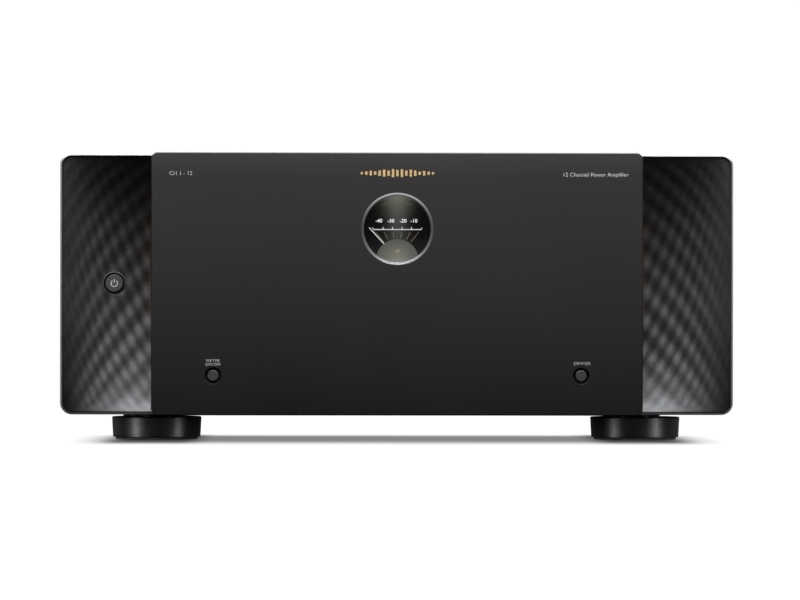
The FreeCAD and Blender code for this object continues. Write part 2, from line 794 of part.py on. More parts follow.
def rear_panel():
    ahead = size.panel_y - 1  # the cuts start just inside the panel
    cut_depth = 4
    body = new_body("rear_panel")
    sketch = sketch_at_y(body, size.panel_y)
    rect(sketch, -half_cover, size.base_z, half_cover, size.cover_top)
    pad(body, sketch, size.panel_thk, back=True)
    fillet(body, lambda edge: along_y(edge) and edge.CenterOfMass.z > 100, size.cover_rad)
    # one channel's openings, repeated
    sketch = sketch_at_y(body, ahead)
    first = size.chan_first
    for z, radius in ((size.xlr_z, 11.9), (size.rca_z, 4.4), (size.red_z, 4.7), (size.black_z, 4.7)):
        circle(sketch, first, z, radius)
    for dx, dz in XLR_SCREWS:
        circle(sketch, first + dx, size.xlr_z + dz, XLR_SCREW_HOLE)
    cut = pocket(body, sketch, cut_depth)
    row(body, cut, "X_Axis", size.chan_pitch, len(CHANNELS))
    # mains inlet, control jacks, selector and screws
    inlet_x, inlet_z, select_x, select_z = size.inlet_x, size.inlet_z, size.select_x, size.select_z
    sketch = sketch_at_y(body, ahead)
    rect(sketch, inlet_x - 15.2, inlet_z - 10.7, inlet_x + 15.2, inlet_z + 10.7)
    for x in (size.jack_one, size.jack_two):
        circle(sketch, x, size.xlr_z, 3.1)
    rect(sketch, select_x - 4.6, select_z - 1.9, select_x + 4.6, select_z + 1.9)
    for x in INLET_SCREWS_X:
        circle(sketch, inlet_x + x, inlet_z, size.screw_hole)
    for x in PANEL_SCREWS_X:
        for z in PANEL_SCREWS_Z:
            circle(sketch, x, z, size.screw_hole)
    pocket(body, sketch, cut_depth)
    # row of slots along the lower edge
    slot_first, slot_z, slot_len, slot_width, slot_pitch, slot_count = -190, 38, 22, 3.2, 29, 11
    sketch = sketch_at_y(body, ahead)
    slot(sketch, slot_first, slot_z, slot_len, slot_width)
    cut = pocket(body, sketch, cut_depth)
    row(body, cut, "X_Axis", slot_pitch, slot_count)
    piece(body)


# ================================================================ feet
FRONT_FEET = [place(side * size.foot_x, size.foot_front, 0) for side in (-1, 1)]
BACK_FEET = [place(side * size.foot_rear_x, size.foot_rear, 0) for side in (-1, 1)]


def make_foot(name, outer, low, neck, rubber):
    """A turned foot: a neck under the case, a broad drum, and a recess for its rubber pad.
    All four sizes are radii."""
    bore, under, top = size.foot_bore, size.foot_under, size.foot_top
    pad_top = 4.6
    foot = turned(name, "XZ_Plane", [
        (bore, 8.6), (5, 8.6), (5, pad_top), (rubber + 0.2, pad_top), (rubber + 0.2, under),
        (low - 0.4, under), (low, under + 0.4), (outer, top - 0.5), (outer - 0.5, top),
        (neck, top), (neck, size.base_z), (bore, size.base_z),
    ])
    foot_pad = turned(name + "_pad", "XZ_Plane", [
        (6, 0), (rubber - 0.5, 0), (rubber, 0.5), (rubber, pad_top), (6, pad_top),
    ])
    return foot, foot_pad


def feet():
    front_foot, front_pad = make_foot(
        "front_foot", size.foot_rad, size.foot_low, size.neck_rad, size.pad_rad
    )
    back_foot, back_pad = make_foot(
        "back_foot", size.back_rad, size.back_low, size.back_neck, size.back_pad
    )
    repeated("feet", (front_foot, FRONT_FEET), (back_foot, BACK_FEET))
    repeated("foot_pads", (front_pad, FRONT_FEET), (back_pad, BACK_FEET))


# ================================================================ rear connectors
# Drawn about the panel's outer face, +Y outwards.
def xlr_sockets():
    flange = 2.0
    body = new_body("xlr_master")
    sketch = sketch_at_y(body)
    rect(sketch, -13, -15.5, 13, 15.5)
    pad(body, sketch, flange, back=True)
    fillet(body, along_y, 3)
    chamfer(body, lambda edge: in_plane_y(edge, flange), 0.4)
    sketch = sketch_at_y(body)
    circle(sketch, 0, 0, 11.8)
    pad(body, sketch, 17)
    # ring-shaped groove round the core
    sketch = sketch_at_y(body, flange)
    circle(sketch, 0, 0, 9.6)
    circle(sketch, 0, 0, 7.7)
    pocket(body, sketch, 14, front=True)
    # three contact holes
    sketch = sketch_at_y(body, flange)
    for degrees in (90, 210, 330):
        angle = math.radians(degrees)
        circle(sketch, 4 * math.cos(angle), 4 * math.sin(angle), 1.3)
    pocket(body, sketch, 12, front=True)
    sketch = sketch_at_y(body, flange)
    for x, z in XLR_SCREWS:
        circle(sketch, x, z, XLR_SCREW_HOLE)
    pocket(body, sketch, 4, front=True)
    repeated("xlr_sockets", (body, [place(x, panel_face, size.xlr_z) for x in CHANNELS]))


def rca_sockets():
    pin, outer = size.rca_pin, size.rca_rad
    body = turned("rca_master", "XY_Plane", [
        (pin, 9.5), (outer - 0.3, 9.5), (outer, 9.2), (outer, 1.5), (5.9, 1.5), (5.9, 0),
        (4.3, 0), (4.3, -9), (2.2, -9), (2.2, -16.4), (0, -16.4), (0, -1.2), (pin, -1.2),
    ])
    repeated("rca_sockets", (body, [place(x, panel_face, size.rca_z) for x in CHANNELS]))


def terminal_posts():
    stud, bore = size.stud_rad, size.banana_rad
    body = turned("post_master", "XY_Plane", [
        (0, -16), (2.4, -16), (2.4, -5), (7, -5), (7, -1.5), (4.6, -1.5), (4.6, 0), (7.9, 0),
        (7.9, 2.2), (7.5, 2.6), (stud, 2.6), (stud, 20.5), (bore, 20.5), (bore, 7.5), (0, 7.5),
    ])
    # cross hole through the stud
    sketch = new_sketch(body, "YZ_Plane", -10)
    circle(sketch, 4.9, 0, 1.5)
    pocket(body, sketch, 20, front=True)
    spots = [place(x, panel_face, z) for x in CHANNELS for z in (size.red_z, size.black_z)]
    repeated("terminal_posts", (body, spots))


def terminal_caps():
    bore, outer = size.cap_bore, size.cap_rad
    body = turned("cap_master", "XY_Plane", [
        (bore, 3.1), (6.0, 3.1), (6.4, 3.5), (6.4, 5.4), (outer, 6.6), (outer, 23.9),
        (outer - 1.6, 25.5), (2.6, 25.5), (2.6, 21.5), (bore, 21.5),
    ])
    # flutes round the grip
    sketch = sketch_at_y(body, 24)
    circle(sketch, 0, outer + 0.5, 1.1)
    flute = pocket(body, sketch, 15.5, front=True)
    ring(body, flute, "Y_Axis", 16)
    doc.recompute()
    for k, x in enumerate(CHANNELS, start=1):
        for colour, z in (("red", size.red_z), ("black", size.black_z)):
            name = "terminal_cap_%02d_%s" % (k, colour)
            shape_piece(name, placed(body, place(x, panel_face, z)))


def mains_inlet():
    flange = 2.5
    body = new_body("mains_inlet")
    sketch = sketch_at_y(body)
    rect(sketch, -25, -12.5, 25, 12.5)
    pad(body, sketch, flange, back=True)
    fillet(body, along_y, 4)
    chamfer(body, lambda edge: in_plane_y(edge, flange), 0.6)
    sketch = sketch_at_y(body)
    rect(sketch, -15, -10.5, 15, 10.5)
    pad(body, sketch, 20)
    # socket with its two upper corners cut off, and the three blades in it
    sketch = sketch_at_y(body, flange)
    poly(sketch, [
        (-12.5, -8.3), (12.5, -8.3), (12.5, 4.6), (8.8, 8.3), (-8.8, 8.3), (-12.5, 4.6),
    ])
    pocket(body, sketch, 16, front=True)
    sketch = sketch_at_y(body, flange - 16)
    rect(sketch, -1.0, 0.6, 1.0, 5.2)
    rect(sketch, -8.0, -4.8, -6.0, -0.2)
    rect(sketch, 6.0, -4.8, 8.0, -0.2)
    pad(body, sketch, 12.5, back=True)
    sketch = sketch_at_y(body, flange)
    for x in INLET_SCREWS_X:
        circle(sketch, x, 0, size.screw_hole)
    pocket(body, sketch, 4, front=True)
    piece(move(body, size.inlet_x, panel_face, size.inlet_z))


def control_jacks():
    bore = size.jack_rad
    body = turned("jack_master", "XY_Plane", [
        (0, -14), (4.2, -14), (4.2, -1.5), (3, -1.5), (3, 0), (4.8, 0), (4.8, 1.6), (2.9, 1.6),
        (2.9, 4.2), (bore, 4.2), (bore, -1.0), (2.6, -1.0), (2.6, -12), (0, -12),
    ])
    spots = [place(x, panel_face, size.xlr_z) for x in (size.jack_one, size.jack_two)]
    repeated("control_jacks", (body, spots))


def selector_switch():
    body = new_body("selector_switch_body")
    sketch = sketch_at_y(body, -10)
    rect(sketch, -9, -4.5, 9, 4.5)
    pad(body, sketch, 8.4, back=True)
    sketch = sketch_at_y(body, -8.5)
    rect(sketch, -5, -2.3, 5, 2.3)
    pocket(body, sketch, 8)
    piece(move(body, size.select_x, panel_face, size.select_z))

    slider = new_body("selector_slider")
    sketch = sketch_at_y(slider, -8.3)
    rect(sketch, -4.4, -2.1, 0, 2.1)
    pad(slider, sketch, 5.2, back=True)
    sketch = sketch_at_y(slider, -3.4)
    rect(sketch, -3.9, -1.6, -0.5, 1.6)
    pad(slider, sketch, 6.0, back=True)
    piece(move(slider, size.select_x, panel_face, size.select_z))


# ================================================================ electronics
def heatsinks():
    spine, fin_first, fin_pitch, fin_thk, fin_count = 4, 4.0, 9.4, 2.2, 10
    outline = [(0, 0), (spine, 0)]
    for fin in range(fin_count):
        low = fin_first + fin_pitch * fin
        high = low + fin_thk
        outline += [(spine, low), (size.sink_w, low), (size.sink_w, high), (spine, high)]
    outline += [(spine, size.sink_h), (0, size.sink_h)]
    body = new_body("sink_master")
    sketch = sketch_at_y(body)
    poly(sketch, outline)
    pad(body, sketch, size.sink_len, back=True)
    repeated("heatsinks", (body, [place(x - 16, size.sink_y, 32) for x in MODULES]))


def amplifier_boards():
    boards = []
    for k, module_x in enumerate(MODULES):
        x = module_x - 17.7
        mounted_x = x - 6.1  # parts on the board's left face
        boards += [
            box("amp_pcb_%d" % k, x, -134, 26, size.board_thk, 310, 118),
            box("amp_choke_a_%d" % k, mounted_x, 120, 60, 6, 22, 22),
            box("amp_choke_b_%d" % k, mounted_x, 120, 92, 6, 22, 22),
            box("amp_plug_%d" % k, mounted_x, -132, 30, 6, 12, 24),
        ]
    collect("amplifier_boards", boards)


def power_supply_board():
    piece(box(
        "power_supply_board", size.psu_x, size.psu_y, size.psu_z,
        size.psu_w, size.psu_len, size.board_thk,
    ))


def supply_transformers():
    half_x, half_y, height = 24, 21, 42
    body = new_body("core_master")
    sketch = new_sketch(body, "XY_Plane")
    rect(sketch, -half_x, -half_y, half_x, half_y)
    pad(body, sketch, height)
    fillet(body, along_z, 3)
    # a round boss on the front and on the back
    for y, back in ((-half_y, False), (half_y, True)):
        sketch = sketch_at_y(body, y)
        circle(sketch, 0, height / 2, 15)
        pad(body, sketch, 5, back=back)
    repeated("supply_transformers", (body, [place(169, y, psu_top) for y in (-120, -55)]))


def reservoir_capacitors():
    body = turned("can_master", "XZ_Plane", [
        (0, 0), (16.5, 0), (17.5, 1), (17.5, 2.6), (16.7, 3.4), (17.5, 4.2), (17.5, 49),
        (16.5, 50), (15.6, 50), (15.6, 49.2), (0, 49.2),
    ])
    spots = [place(x, y, psu_top) for x in (147, 190) for y in (0, 40, 80, 120)]
    repeated("reservoir_capacitors", (body, spots))


def input_board():
    piece(box("input_board", -213, 182.4, 118, 330, size.board_thk, 66))


def cable(radius, *points):
    """A round cable along a path with rounded bends."""
    points = [vec(*point) for point in points]
    trim = 3.2 * radius
    edges, last = [], points[0]
    for before, corner, after in zip(points, points[1:], points[2:]):
        to_before = (before - corner).normalize()
        to_after = (after - corner).normalize()
        start, end = corner + to_before * trim, corner + to_after * trim
        middle = corner + (to_before + to_after) * trim * (1 - math.sqrt(0.5))
        edges += [Part.makeLine(last, start), Part.Arc(start, middle, end).toShape()]
        last = end
    edges.append(Part.makeLine(last, points[-1]))
    ahead = (points[1] - points[0]).normalize()
    section = Part.Wire([Part.Circle(points[0], ahead, radius).toShape()])
    return Part.Wire(edges).makePipeShell([section], True, True)


def wiring_harness():
    looms = [cable(3.0, (121, -150, 40), (-205, -150, 40), (-205, -140, 40))]
    for module_x in MODULES:
        x = module_x - 21
        looms.append(cable(1.6, (x, -145.8, 52), (x, -145.8, 62), (x, -120, 62)))
    looms.append(cable(2.0, (150, -172, 34), (60, -172, 34), (60, -203, 34)))
    looms.append(cable(1.6, (200, 186, 52), (200, 186, 36), (206, 186, 36)))
    shape_piece("wiring_harness", Part.makeCompound(looms))


# ================================================================ screws
def screws():
    # drawn along Y: the head stands on y = 0, the shank runs to -Y
    case_screw = turned("screw_master", "XY_Plane", [
        (0, 0.4), (1.3, 0.4), (1.3, 1.5), (2.6, 1.5), (3.3, 0.8), (3.3, 0), (1.45, 0),
        (1.45, -5.5), (0, -5.5),
    ])
    xlr_screw = turned("small_screw_master", "XY_Plane", [
        (0, 0.6), (0.9, 0.6), (0.9, 1.3), (1.9, 1.3), (2.4, 0.6), (2.4, 0), (1.3, 0),
        (1.3, -5), (0, -5),
    ])
    # drawn upright, its head at the bottom
    foot_screw = turned("foot_screw_master", "XZ_Plane", [
        (0, 5.8), (1.6, 5.8), (1.6, 5.0), (4, 5.0), (4, 8.6), (2.0, 8.6), (2.0, 25), (0, 25),
    ])
    case_spots = []
    for side in (-1, 1):
        outwards = Rotation(Vector(0, 0, 1), -90 * side)
        for y in SIDE_SCREWS_Y:
            case_spots.append(place(side * half_cover, y, size.side_screw_z, outwards))
    case_spots += [place(x, panel_face, z) for x in PANEL_SCREWS_X for z in PANEL_SCREWS_Z[::-1]]
    case_spots += [
        place(size.inlet_x + x, panel_face + 2.5, size.inlet_z) for x in INLET_SCREWS_X
    ]
    xlr_spots = [
        place(x + dx, panel_face + 2, size.xlr_z + dz) for x in CHANNELS for dx, dz in XLR_SCREWS
    ]
    repeated(
        "screws", (case_screw, case_spots), (xlr_screw, xlr_spots),
        (foot_screw, FRONT_FEET + BACK_FEET),
    )


# ================================================================ build, check and export
for build in (
    fascia_plate, front_frame, wing_panels,
    meter_bezel, meter_lens, meter_dial, meter_hub_cover, meter_needle, meter_movement,
    front_buttons, power_button, power_button_bezel, front_control_board, light_strips,
    top_cover, chassis_base, rear_panel, feet,
    xlr_sockets, rca_sockets, terminal_posts, terminal_caps, mains_inlet, control_jacks,
    selector_switch,
    heatsinks, amplifier_boards, power_supply_board, supply_transformers,
    reservoir_capacitors, input_board, wiring_harness, screws,
):
    build()

doc.recompute()
for obj in doc.Objects:
    if "Invalid" in obj.State or "Error" in obj.State:
        raise RuntimeError("%s failed: %s" % (obj.Name, obj.State))
for obj in PIECES:
    if obj.Shape.isNull() or not obj.Shape.isValid() or not obj.Shape.Solids:
        raise RuntimeError(obj.Label + " has a bad shape")

os.makedirs("parts", exist_ok=True)
for obj in PIECES:
    obj.Shape.exportStep("parts/%s.step" % obj.Label)
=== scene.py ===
"""A twelve-channel power amplifier: a black case with a front plate and a round meter
between two dished wings of soft pads, with rows of sockets on the back.

The front faces -Y, the width runs along X with left at -X, and the feet stand on z = 0.
Lengths are in metres; those given in millimetres are multiplied by MM.
"""
import math
import bmesh
import bpy
from mathutils import Matrix, Vector


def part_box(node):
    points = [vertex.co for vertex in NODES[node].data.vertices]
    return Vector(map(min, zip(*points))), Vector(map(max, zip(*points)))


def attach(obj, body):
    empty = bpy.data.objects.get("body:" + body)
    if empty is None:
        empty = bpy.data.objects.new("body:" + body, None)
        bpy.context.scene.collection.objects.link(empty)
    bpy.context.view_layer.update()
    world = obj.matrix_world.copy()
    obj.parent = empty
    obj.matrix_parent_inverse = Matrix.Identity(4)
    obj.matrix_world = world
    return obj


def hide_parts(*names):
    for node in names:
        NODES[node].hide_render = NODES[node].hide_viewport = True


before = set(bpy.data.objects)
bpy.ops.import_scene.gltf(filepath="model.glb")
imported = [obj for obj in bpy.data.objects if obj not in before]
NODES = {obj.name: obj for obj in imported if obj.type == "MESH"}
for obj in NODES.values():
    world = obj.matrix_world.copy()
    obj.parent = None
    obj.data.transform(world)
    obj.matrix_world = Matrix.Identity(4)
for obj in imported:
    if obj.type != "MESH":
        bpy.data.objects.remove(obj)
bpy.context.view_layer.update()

scene = bpy.context.scene
MM = 0.001


def middle(name):
    """The middle (x, z) of a piece."""
    lo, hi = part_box(name)
    return (lo.x + hi.x) / 2, (lo.z + hi.z) / 2


METER_X, METER_Z = Vector(middle("meter_bezel"))
PRINT_LIFT = 0.01 * MM  # gap between a surface and the middle of the print on it
CHANNELS = 12


# ------------------------------------------------------------------ geometry helpers
def place(name, mesh, body, mat):
    piece = bpy.data.objects.new(name, mesh)
    scene.collection.objects.link(piece)
    mesh.materials.append(mat.material)
    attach(piece, body)
    return piece


class Solids:
    """Collects closed solids into one mesh."""

    def __init__(self):
        self.verts, self.faces, self.smooth = [], [], []

    def add(self, verts, faces, smooth):
        base = len(self.verts)
        self.verts += verts
        for face in faces:
            self.faces.append(tuple(base + i for i in face))
            self.smooth.append(smooth)

    def prism(self, outline, face_y, rise=0.05 * MM):
        """Raises an (x, z) outline from a surface facing -Y, with its root sunk in it."""
        y0, y1 = face_y - rise, face_y + 0.1 * MM
        n = len(outline)
        verts = [(x, y0, z) for x, z in outline] + [(x, y1, z) for x, z in outline]
        faces = [tuple(range(n)), tuple(range(2 * n - 1, n - 1, -1))]
        for i in range(n):
            j = (i + 1) % n
            faces.append((i, n + i, n + j, j))
        self.add(verts, faces, False)

    def tube(self, x, z, radii, ends, steps):
        """A tube along Y; radii are (inner, outer) and ends are its two y values."""
        (inner, outer), (y0, y1) = radii, ends
        profile = [(inner, y0), (outer, y0), (outer, y1), (inner, y1)]
        verts, faces, m = [], [], len(profile)
        for k in range(steps):
            angle = 2 * math.pi * k / steps
            for r, y in profile:
                verts.append((x + r * math.cos(angle), y, z + r * math.sin(angle)))
        for k in range(steps):
            here, there = k * m, (k + 1) % steps * m
            for i in range(m):
                j = (i + 1) % m
                faces.append((here + i, here + j, there + j, there + i))
        self.add(verts, faces, True)

    def make(self, name, body, slot, mat):
        mesh = bpy.data.meshes.new(name)
        mesh.from_pydata(self.verts, [], self.faces)
        for polygon, smooth in zip(mesh.polygons, self.smooth):
            polygon.use_smooth = smooth
        bm = bmesh.new()
        bm.from_mesh(mesh)
        bmesh.ops.recalc_face_normals(bm, faces=bm.faces)
        bm.to_mesh(mesh)
        bm.free()
        mesh.update()
        return place(name, mesh, body, mat)


def arc_outline(x, z, inner, outer, start, end):
    """A band between two radii; angles in degrees, anticlockwise from +X seen from -Y."""
    steps = 40
    points = []
    for radius, order in ((outer, range(steps + 1)), (inner, range(steps, -1, -1))):
        for i in order:
            angle = math.radians(start + (end - start) * i / steps)
            points.append((x + radius * math.cos(angle), z + radius * math.sin(angle)))
    return points


def bar_outline(x, z, width, height, corner):
    """A rectangle centred on (x, z) with round corners; its sizes are in millimetres."""
    steps = 5
    radius = corner * MM
    dx, dz = width * MM / 2 - radius, height * MM / 2 - radius
    points = []
    for sx, sz, start in ((1, 1, 0), (-1, 1, 90), (-1, -1, 180), (1, -1, 270)):
        for i in range(steps + 1):
            angle = math.radians(start + 90 * i / steps)
            points.append((
                x + sx * dx + radius * math.cos(angle),
                z + sz * dz + radius * math.sin(angle),
            ))
    return points


def print_text(name, words, size, where, mat, side=-1, align="CENTER", bold=0.0,
               spacing=1.0):
    """Raised print centred in height on where (x, y, z). Side -1 faces -Y and 1 faces +Y."""
    curve = bpy.data.curves.new(name + "_curve", "FONT")
    curve.body = words
    curve.size = size
    curve.align_x = align
    curve.align_y = "CENTER"
    curve.extrude = 0.04 * MM
    curve.offset = bold
    curve.resolution_u = 4
    curve.space_character = spacing
    text = bpy.data.objects.new(name + "_tmp", curve)
    scene.collection.objects.link(text)
    bpy.context.view_layer.update()
    depsgraph = bpy.context.evaluated_depsgraph_get()
    mesh = bpy.data.meshes.new_from_object(text.evaluated_get(depsgraph))
    bpy.data.objects.remove(text)
    bpy.data.curves.remove(curve)
    turn = Matrix.Rotation(math.radians(90), 4, "X")
    if side > 0:
        turn = Matrix.Rotation(math.radians(180), 4, "Z") @ turn
    mesh.transform(Matrix.Translation(where) @ turn)
    mesh.name = name
    mesh.materials.clear()
    bm = bmesh.new()
    bm.from_mesh(mesh)
    bmesh.ops.remove_doubles(bm, verts=bm.verts, dist=1e-7)
    bm.to_mesh(mesh)
    bm.free()
    return place(name, mesh, "chassis", mat)


def smoothstep(start, end, value):
    t = min(max((value - start) / (end - start), 0.0), 1.0)
    return t * t * (3 - 2 * t)


def hill(value, centre, reach):
    """A cosine hill, 1 at its centre and 0 beyond its reach."""
    return 0.5 + 0.5 * math.cos(math.pi * min(1.0, abs(value - centre) / reach))


# ------------------------------------------------------------------ node helpers
class Nodes:
    """A shader tree; a value may be a number, a tuple or another node's output."""

    def __init__(self, tree, output_kind, space):
        self.tree = tree
        tree.nodes.clear()
        self.output = self.add(output_kind)
        self.coord = self.value("ShaderNodeTexCoord", output=space)

    def add(self, kind, inputs=None, **props):
        node = self.tree.nodes.new(kind)
        for key, value in props.items():
            setattr(node, key, value)
        for key, value in (inputs or {}).items():
            self.put(node.inputs[key], value)
        return node

    def value(self, kind, inputs=None, output=0, **props):
        return self.add(kind, inputs, **props).outputs[output]

    def put(self, socket, value):
        if isinstance(value, bpy.types.NodeSocket):
            self.tree.links.new(value, socket)
        else:
            socket.default_value = (*value, 1) if socket.type == "RGBA" else value

    def finish(self, shader):
        self.put(self.output.inputs[0], shader)

    def split(self, vector):
        return self.add("ShaderNodeSeparateXYZ", {0: vector}).outputs

    def axis(self, which):
        return self.split(self.coord)["XYZ".index(which)]

    def camera_ray(self):
        return self.value("ShaderNodeLightPath", output="Is Camera Ray")

    def mix_shader(self, factor, first, second):
        return self.value("ShaderNodeMixShader", {0: factor, 1: first, 2: second})

    def remap(self, source, to=(0.0, 1.0), over=(0.0, 1.0), smooth=False):
        """Maps the range over to the range to, clamped at both ends."""
        return self.value(
            "ShaderNodeMapRange",
            {0: source, 1: over[0], 2: over[1], 3: to[0], 4: to[1]},
            interpolation_type="SMOOTHSTEP" if smooth else "LINEAR",
        )

    def ease(self, source, start, end):
        return self.remap(source, over=(start, end), smooth=True)

    def math(self, operation, *values):
        return self.value("ShaderNodeMath", dict(enumerate(values)), operation=operation)

    def plus(self, a, b):
        return self.math("ADD", a, b)

    def minus(self, a, b):
        return self.math("SUBTRACT", a, b)

    def times(self, a, b):
        return self.math("MULTIPLY", a, b)

    def invert(self, a):
        return self.minus(1.0, a)

    def radius(self, dx, dz):
        squares = self.plus(self.math("POWER", dx, 2.0), self.math("POWER", dz, 2.0))
        return self.math("SQRT", squares)

    def bell(self, source, width):
        """A bell curve, 1 at zero and 1/e at the width."""
        square = self.math("POWER", self.math("DIVIDE", source, width), 2.0)
        return self.math("POWER", 2.718, self.times(square, -1.0))


class Mat(Nodes):
    """A material, with a Principled shader unless it builds its own."""

    def __init__(self, name, principled=True):
        self.material = bpy.data.materials.new(name)
        self.material.use_nodes = True
        super().__init__(self.material.node_tree, "ShaderNodeOutputMaterial", "Object")
        if principled:
            self.shader = self.add("ShaderNodeBsdfPrincipled")
            self.finish(self.shader.outputs[0])

    def set(self, name, value):
        self.put(self.shader.inputs[name], value)

    def glow(self, color):
        self.set("Emission Color", color)
        self.set("Emission Strength", 1.0)

    def stretched(self, scales):
        return self.value("ShaderNodeMapping", {0: self.coord, "Scale": scales})

    def noise(self, scale, detail=3.0, rough=0.5, vector=None):
        inputs = {
            "Scale": scale, "Detail": detail, "Roughness": rough,
            "Vector": vector or self.coord,
        }
        return self.value("ShaderNodeTexNoise", inputs, output="Fac")

    def spread(self, source, low=0.0, high=1.0):
        """Maps the middle of a noise, where most of it lies, to low..high."""
        return self.remap(source, to=(low, high), over=(0.3, 0.7))

    def mix(self, factor, first, second):
        inputs = {0: factor, 6: first, 7: second}
        return self.value("ShaderNodeMix", inputs, output=2, data_type="RGBA")

    def bump(self, source, strength, depth, normal=None):
        inputs = {"Strength": strength, "Distance": depth, "Height": source}
        if normal is not None:
            inputs["Normal"] = normal
        return self.value("ShaderNodeBump", inputs)


def grey(level):
    return (level, level, level)


def tone(color, factor):
    return tuple(min(max(c * factor, 0.0), 1.0) for c in color)


def surface(name, color, rough, metal=0.0, spec=0.5, drift=(0.2, 30),
            grain=(900, 0.1, 0.00005)):
    """Colour drifts on a large noise, roughness on a medium one, and a fine grain is the bump.

    rough is (middle, swing), drift is (colour swing, noise scale) and grain is
    (noise scale, bump strength, bump depth). A colour of None is left to the caller.
    """
    mat = Mat(name)
    swing, scale = drift
    if color:
        large = mat.spread(mat.noise(scale=scale, detail=4, rough=0.6))
        mat.set("Base Color", mat.mix(large, tone(color, 1 - swing), tone(color, 1 + swing)))
    medium = mat.noise(scale=scale * 6)
    mat.set("Roughness", mat.spread(medium, rough[0] - rough[1], rough[0] + rough[1]))
    grain_scale, strength, depth = grain
    mat.set("Normal", mat.bump(mat.noise(scale=grain_scale, detail=2), strength, depth))
    mat.set("Metallic", metal)
    mat.set("Specular IOR Level", spec)
    mat.set("Coat Weight", 0.0)
    mat.set("Coat Roughness", 0.15)
    return mat


def brushed(name, color, rough, direction, metal=1.0):
    """Metal with fine lines that run along one axis."""
    mat = Mat(name)
    along, across = 1.0, 60.0
    scales = tuple(along if axis == direction else across for axis in "XYZ")
    lines = mat.noise(scale=14, detail=4, rough=0.65, vector=mat.stretched(scales))
    mat.set("Base Color", mat.mix(mat.spread(lines), tone(color, 0.86), tone(color, 1.1)))
    mat.set("Roughness", mat.spread(lines, rough - 0.06, rough + 0.08))
    mat.set("Normal", mat.bump(lines, strength=0.12, depth=0.00004))
    mat.set("Metallic", metal)
    return mat


def print_material(name, color, rough=0.6, metal=0.0):
    return surface(name, color, (rough, 0.05), metal, spec=0.4, drift=(0.06, 400),
                   grain=(3000, 0.05, 0.00002))


def lit_print(name, color, glow):
    """Print that the lamps shine through."""
    mat = print_material(name, color)
    fleck = mat.spread(mat.noise(scale=900, detail=2))
    mat.set("Emission Color", mat.mix(fleck, tone(color, 0.92), tone(color, 1.05)))
    mat.set("Emission Strength", glow)
    return mat


# ------------------------------------------------------------------ materials
def fascia_material():
    """Satin black anodising: a very fine even grain, with more sheen towards the top."""
    mat = Mat("satin_black_plate")
    drift = mat.spread(mat.noise(scale=9, detail=2))
    mat.set("Base Color", mat.mix(drift, (0.0098, 0.0098, 0.0100), (0.0120, 0.0120, 0.0121)))
    bottom, crest_start, top = 0.018, 0.172, 0.189
    height = mat.remap(mat.axis("Z"), over=(bottom, top))
    mat.set("Roughness", mat.remap(height, to=(0.50, 0.40)))
    crest = mat.remap(mat.axis("Z"), to=(0.0, 0.45), over=(crest_start, top))
    mat.set("Specular IOR Level", mat.plus(mat.remap(height, to=(0.02, 0.95)), crest))
    grain = mat.noise(scale=2600, detail=2)
    blast = mat.value(
        "ShaderNodeTexVoronoi", {"Scale": 1500.0, "Vector": mat.coord},
        output="Distance", feature="F1",
    )
    pits = mat.bump(blast, strength=0.05, depth=0.00004)
    mat.set("Normal", mat.bump(grain, strength=0.06, depth=0.00003, normal=pits))
    return mat


def wing_material():
    """Satin moulded black with a fine texture; its relief is in the mesh, and its colour and specular
    carry painted light and shade.
    """
    mat = Mat("wing_black")
    # pad_sheen is painted light and shade, stored per point of the mesh
    sheen = mat.value("ShaderNodeAttribute", output="Fac", attribute_name="pad_sheen")
    fleck = mat.spread(mat.noise(scale=850, detail=2, rough=0.6), 0.88, 1.12)
    shine = mat.times(sheen, fleck)
    drift = mat.spread(mat.noise(scale=60))
    base = mat.mix(drift, (0.018, 0.018, 0.0185), (0.024, 0.024, 0.0245))
    base_with_painted_light = mat.value("ShaderNodeVectorMath", {0: base, 3: shine}, operation="SCALE")
    mat.set("Base Color", base_with_painted_light)
    mat.set("Roughness", mat.spread(mat.noise(scale=300), 0.55, 0.61))
    mat.set("Specular IOR Level", mat.times(shine, 0.72))
    # a painted glow on the nearest pads stands for the light of the lamp strips behind the front
    # plate
    warmth = mat.value("ShaderNodeAttribute", output="Fac", attribute_name="lamp_warmth")
    mat.glow(mat.mix(mat.times(warmth, fleck), grey(0), (0.0175, 0.0086, 0.0011)))
    mat.set("Normal", mat.bump(mat.noise(scale=1900, detail=2), strength=0.14, depth=0.00006))
    return mat


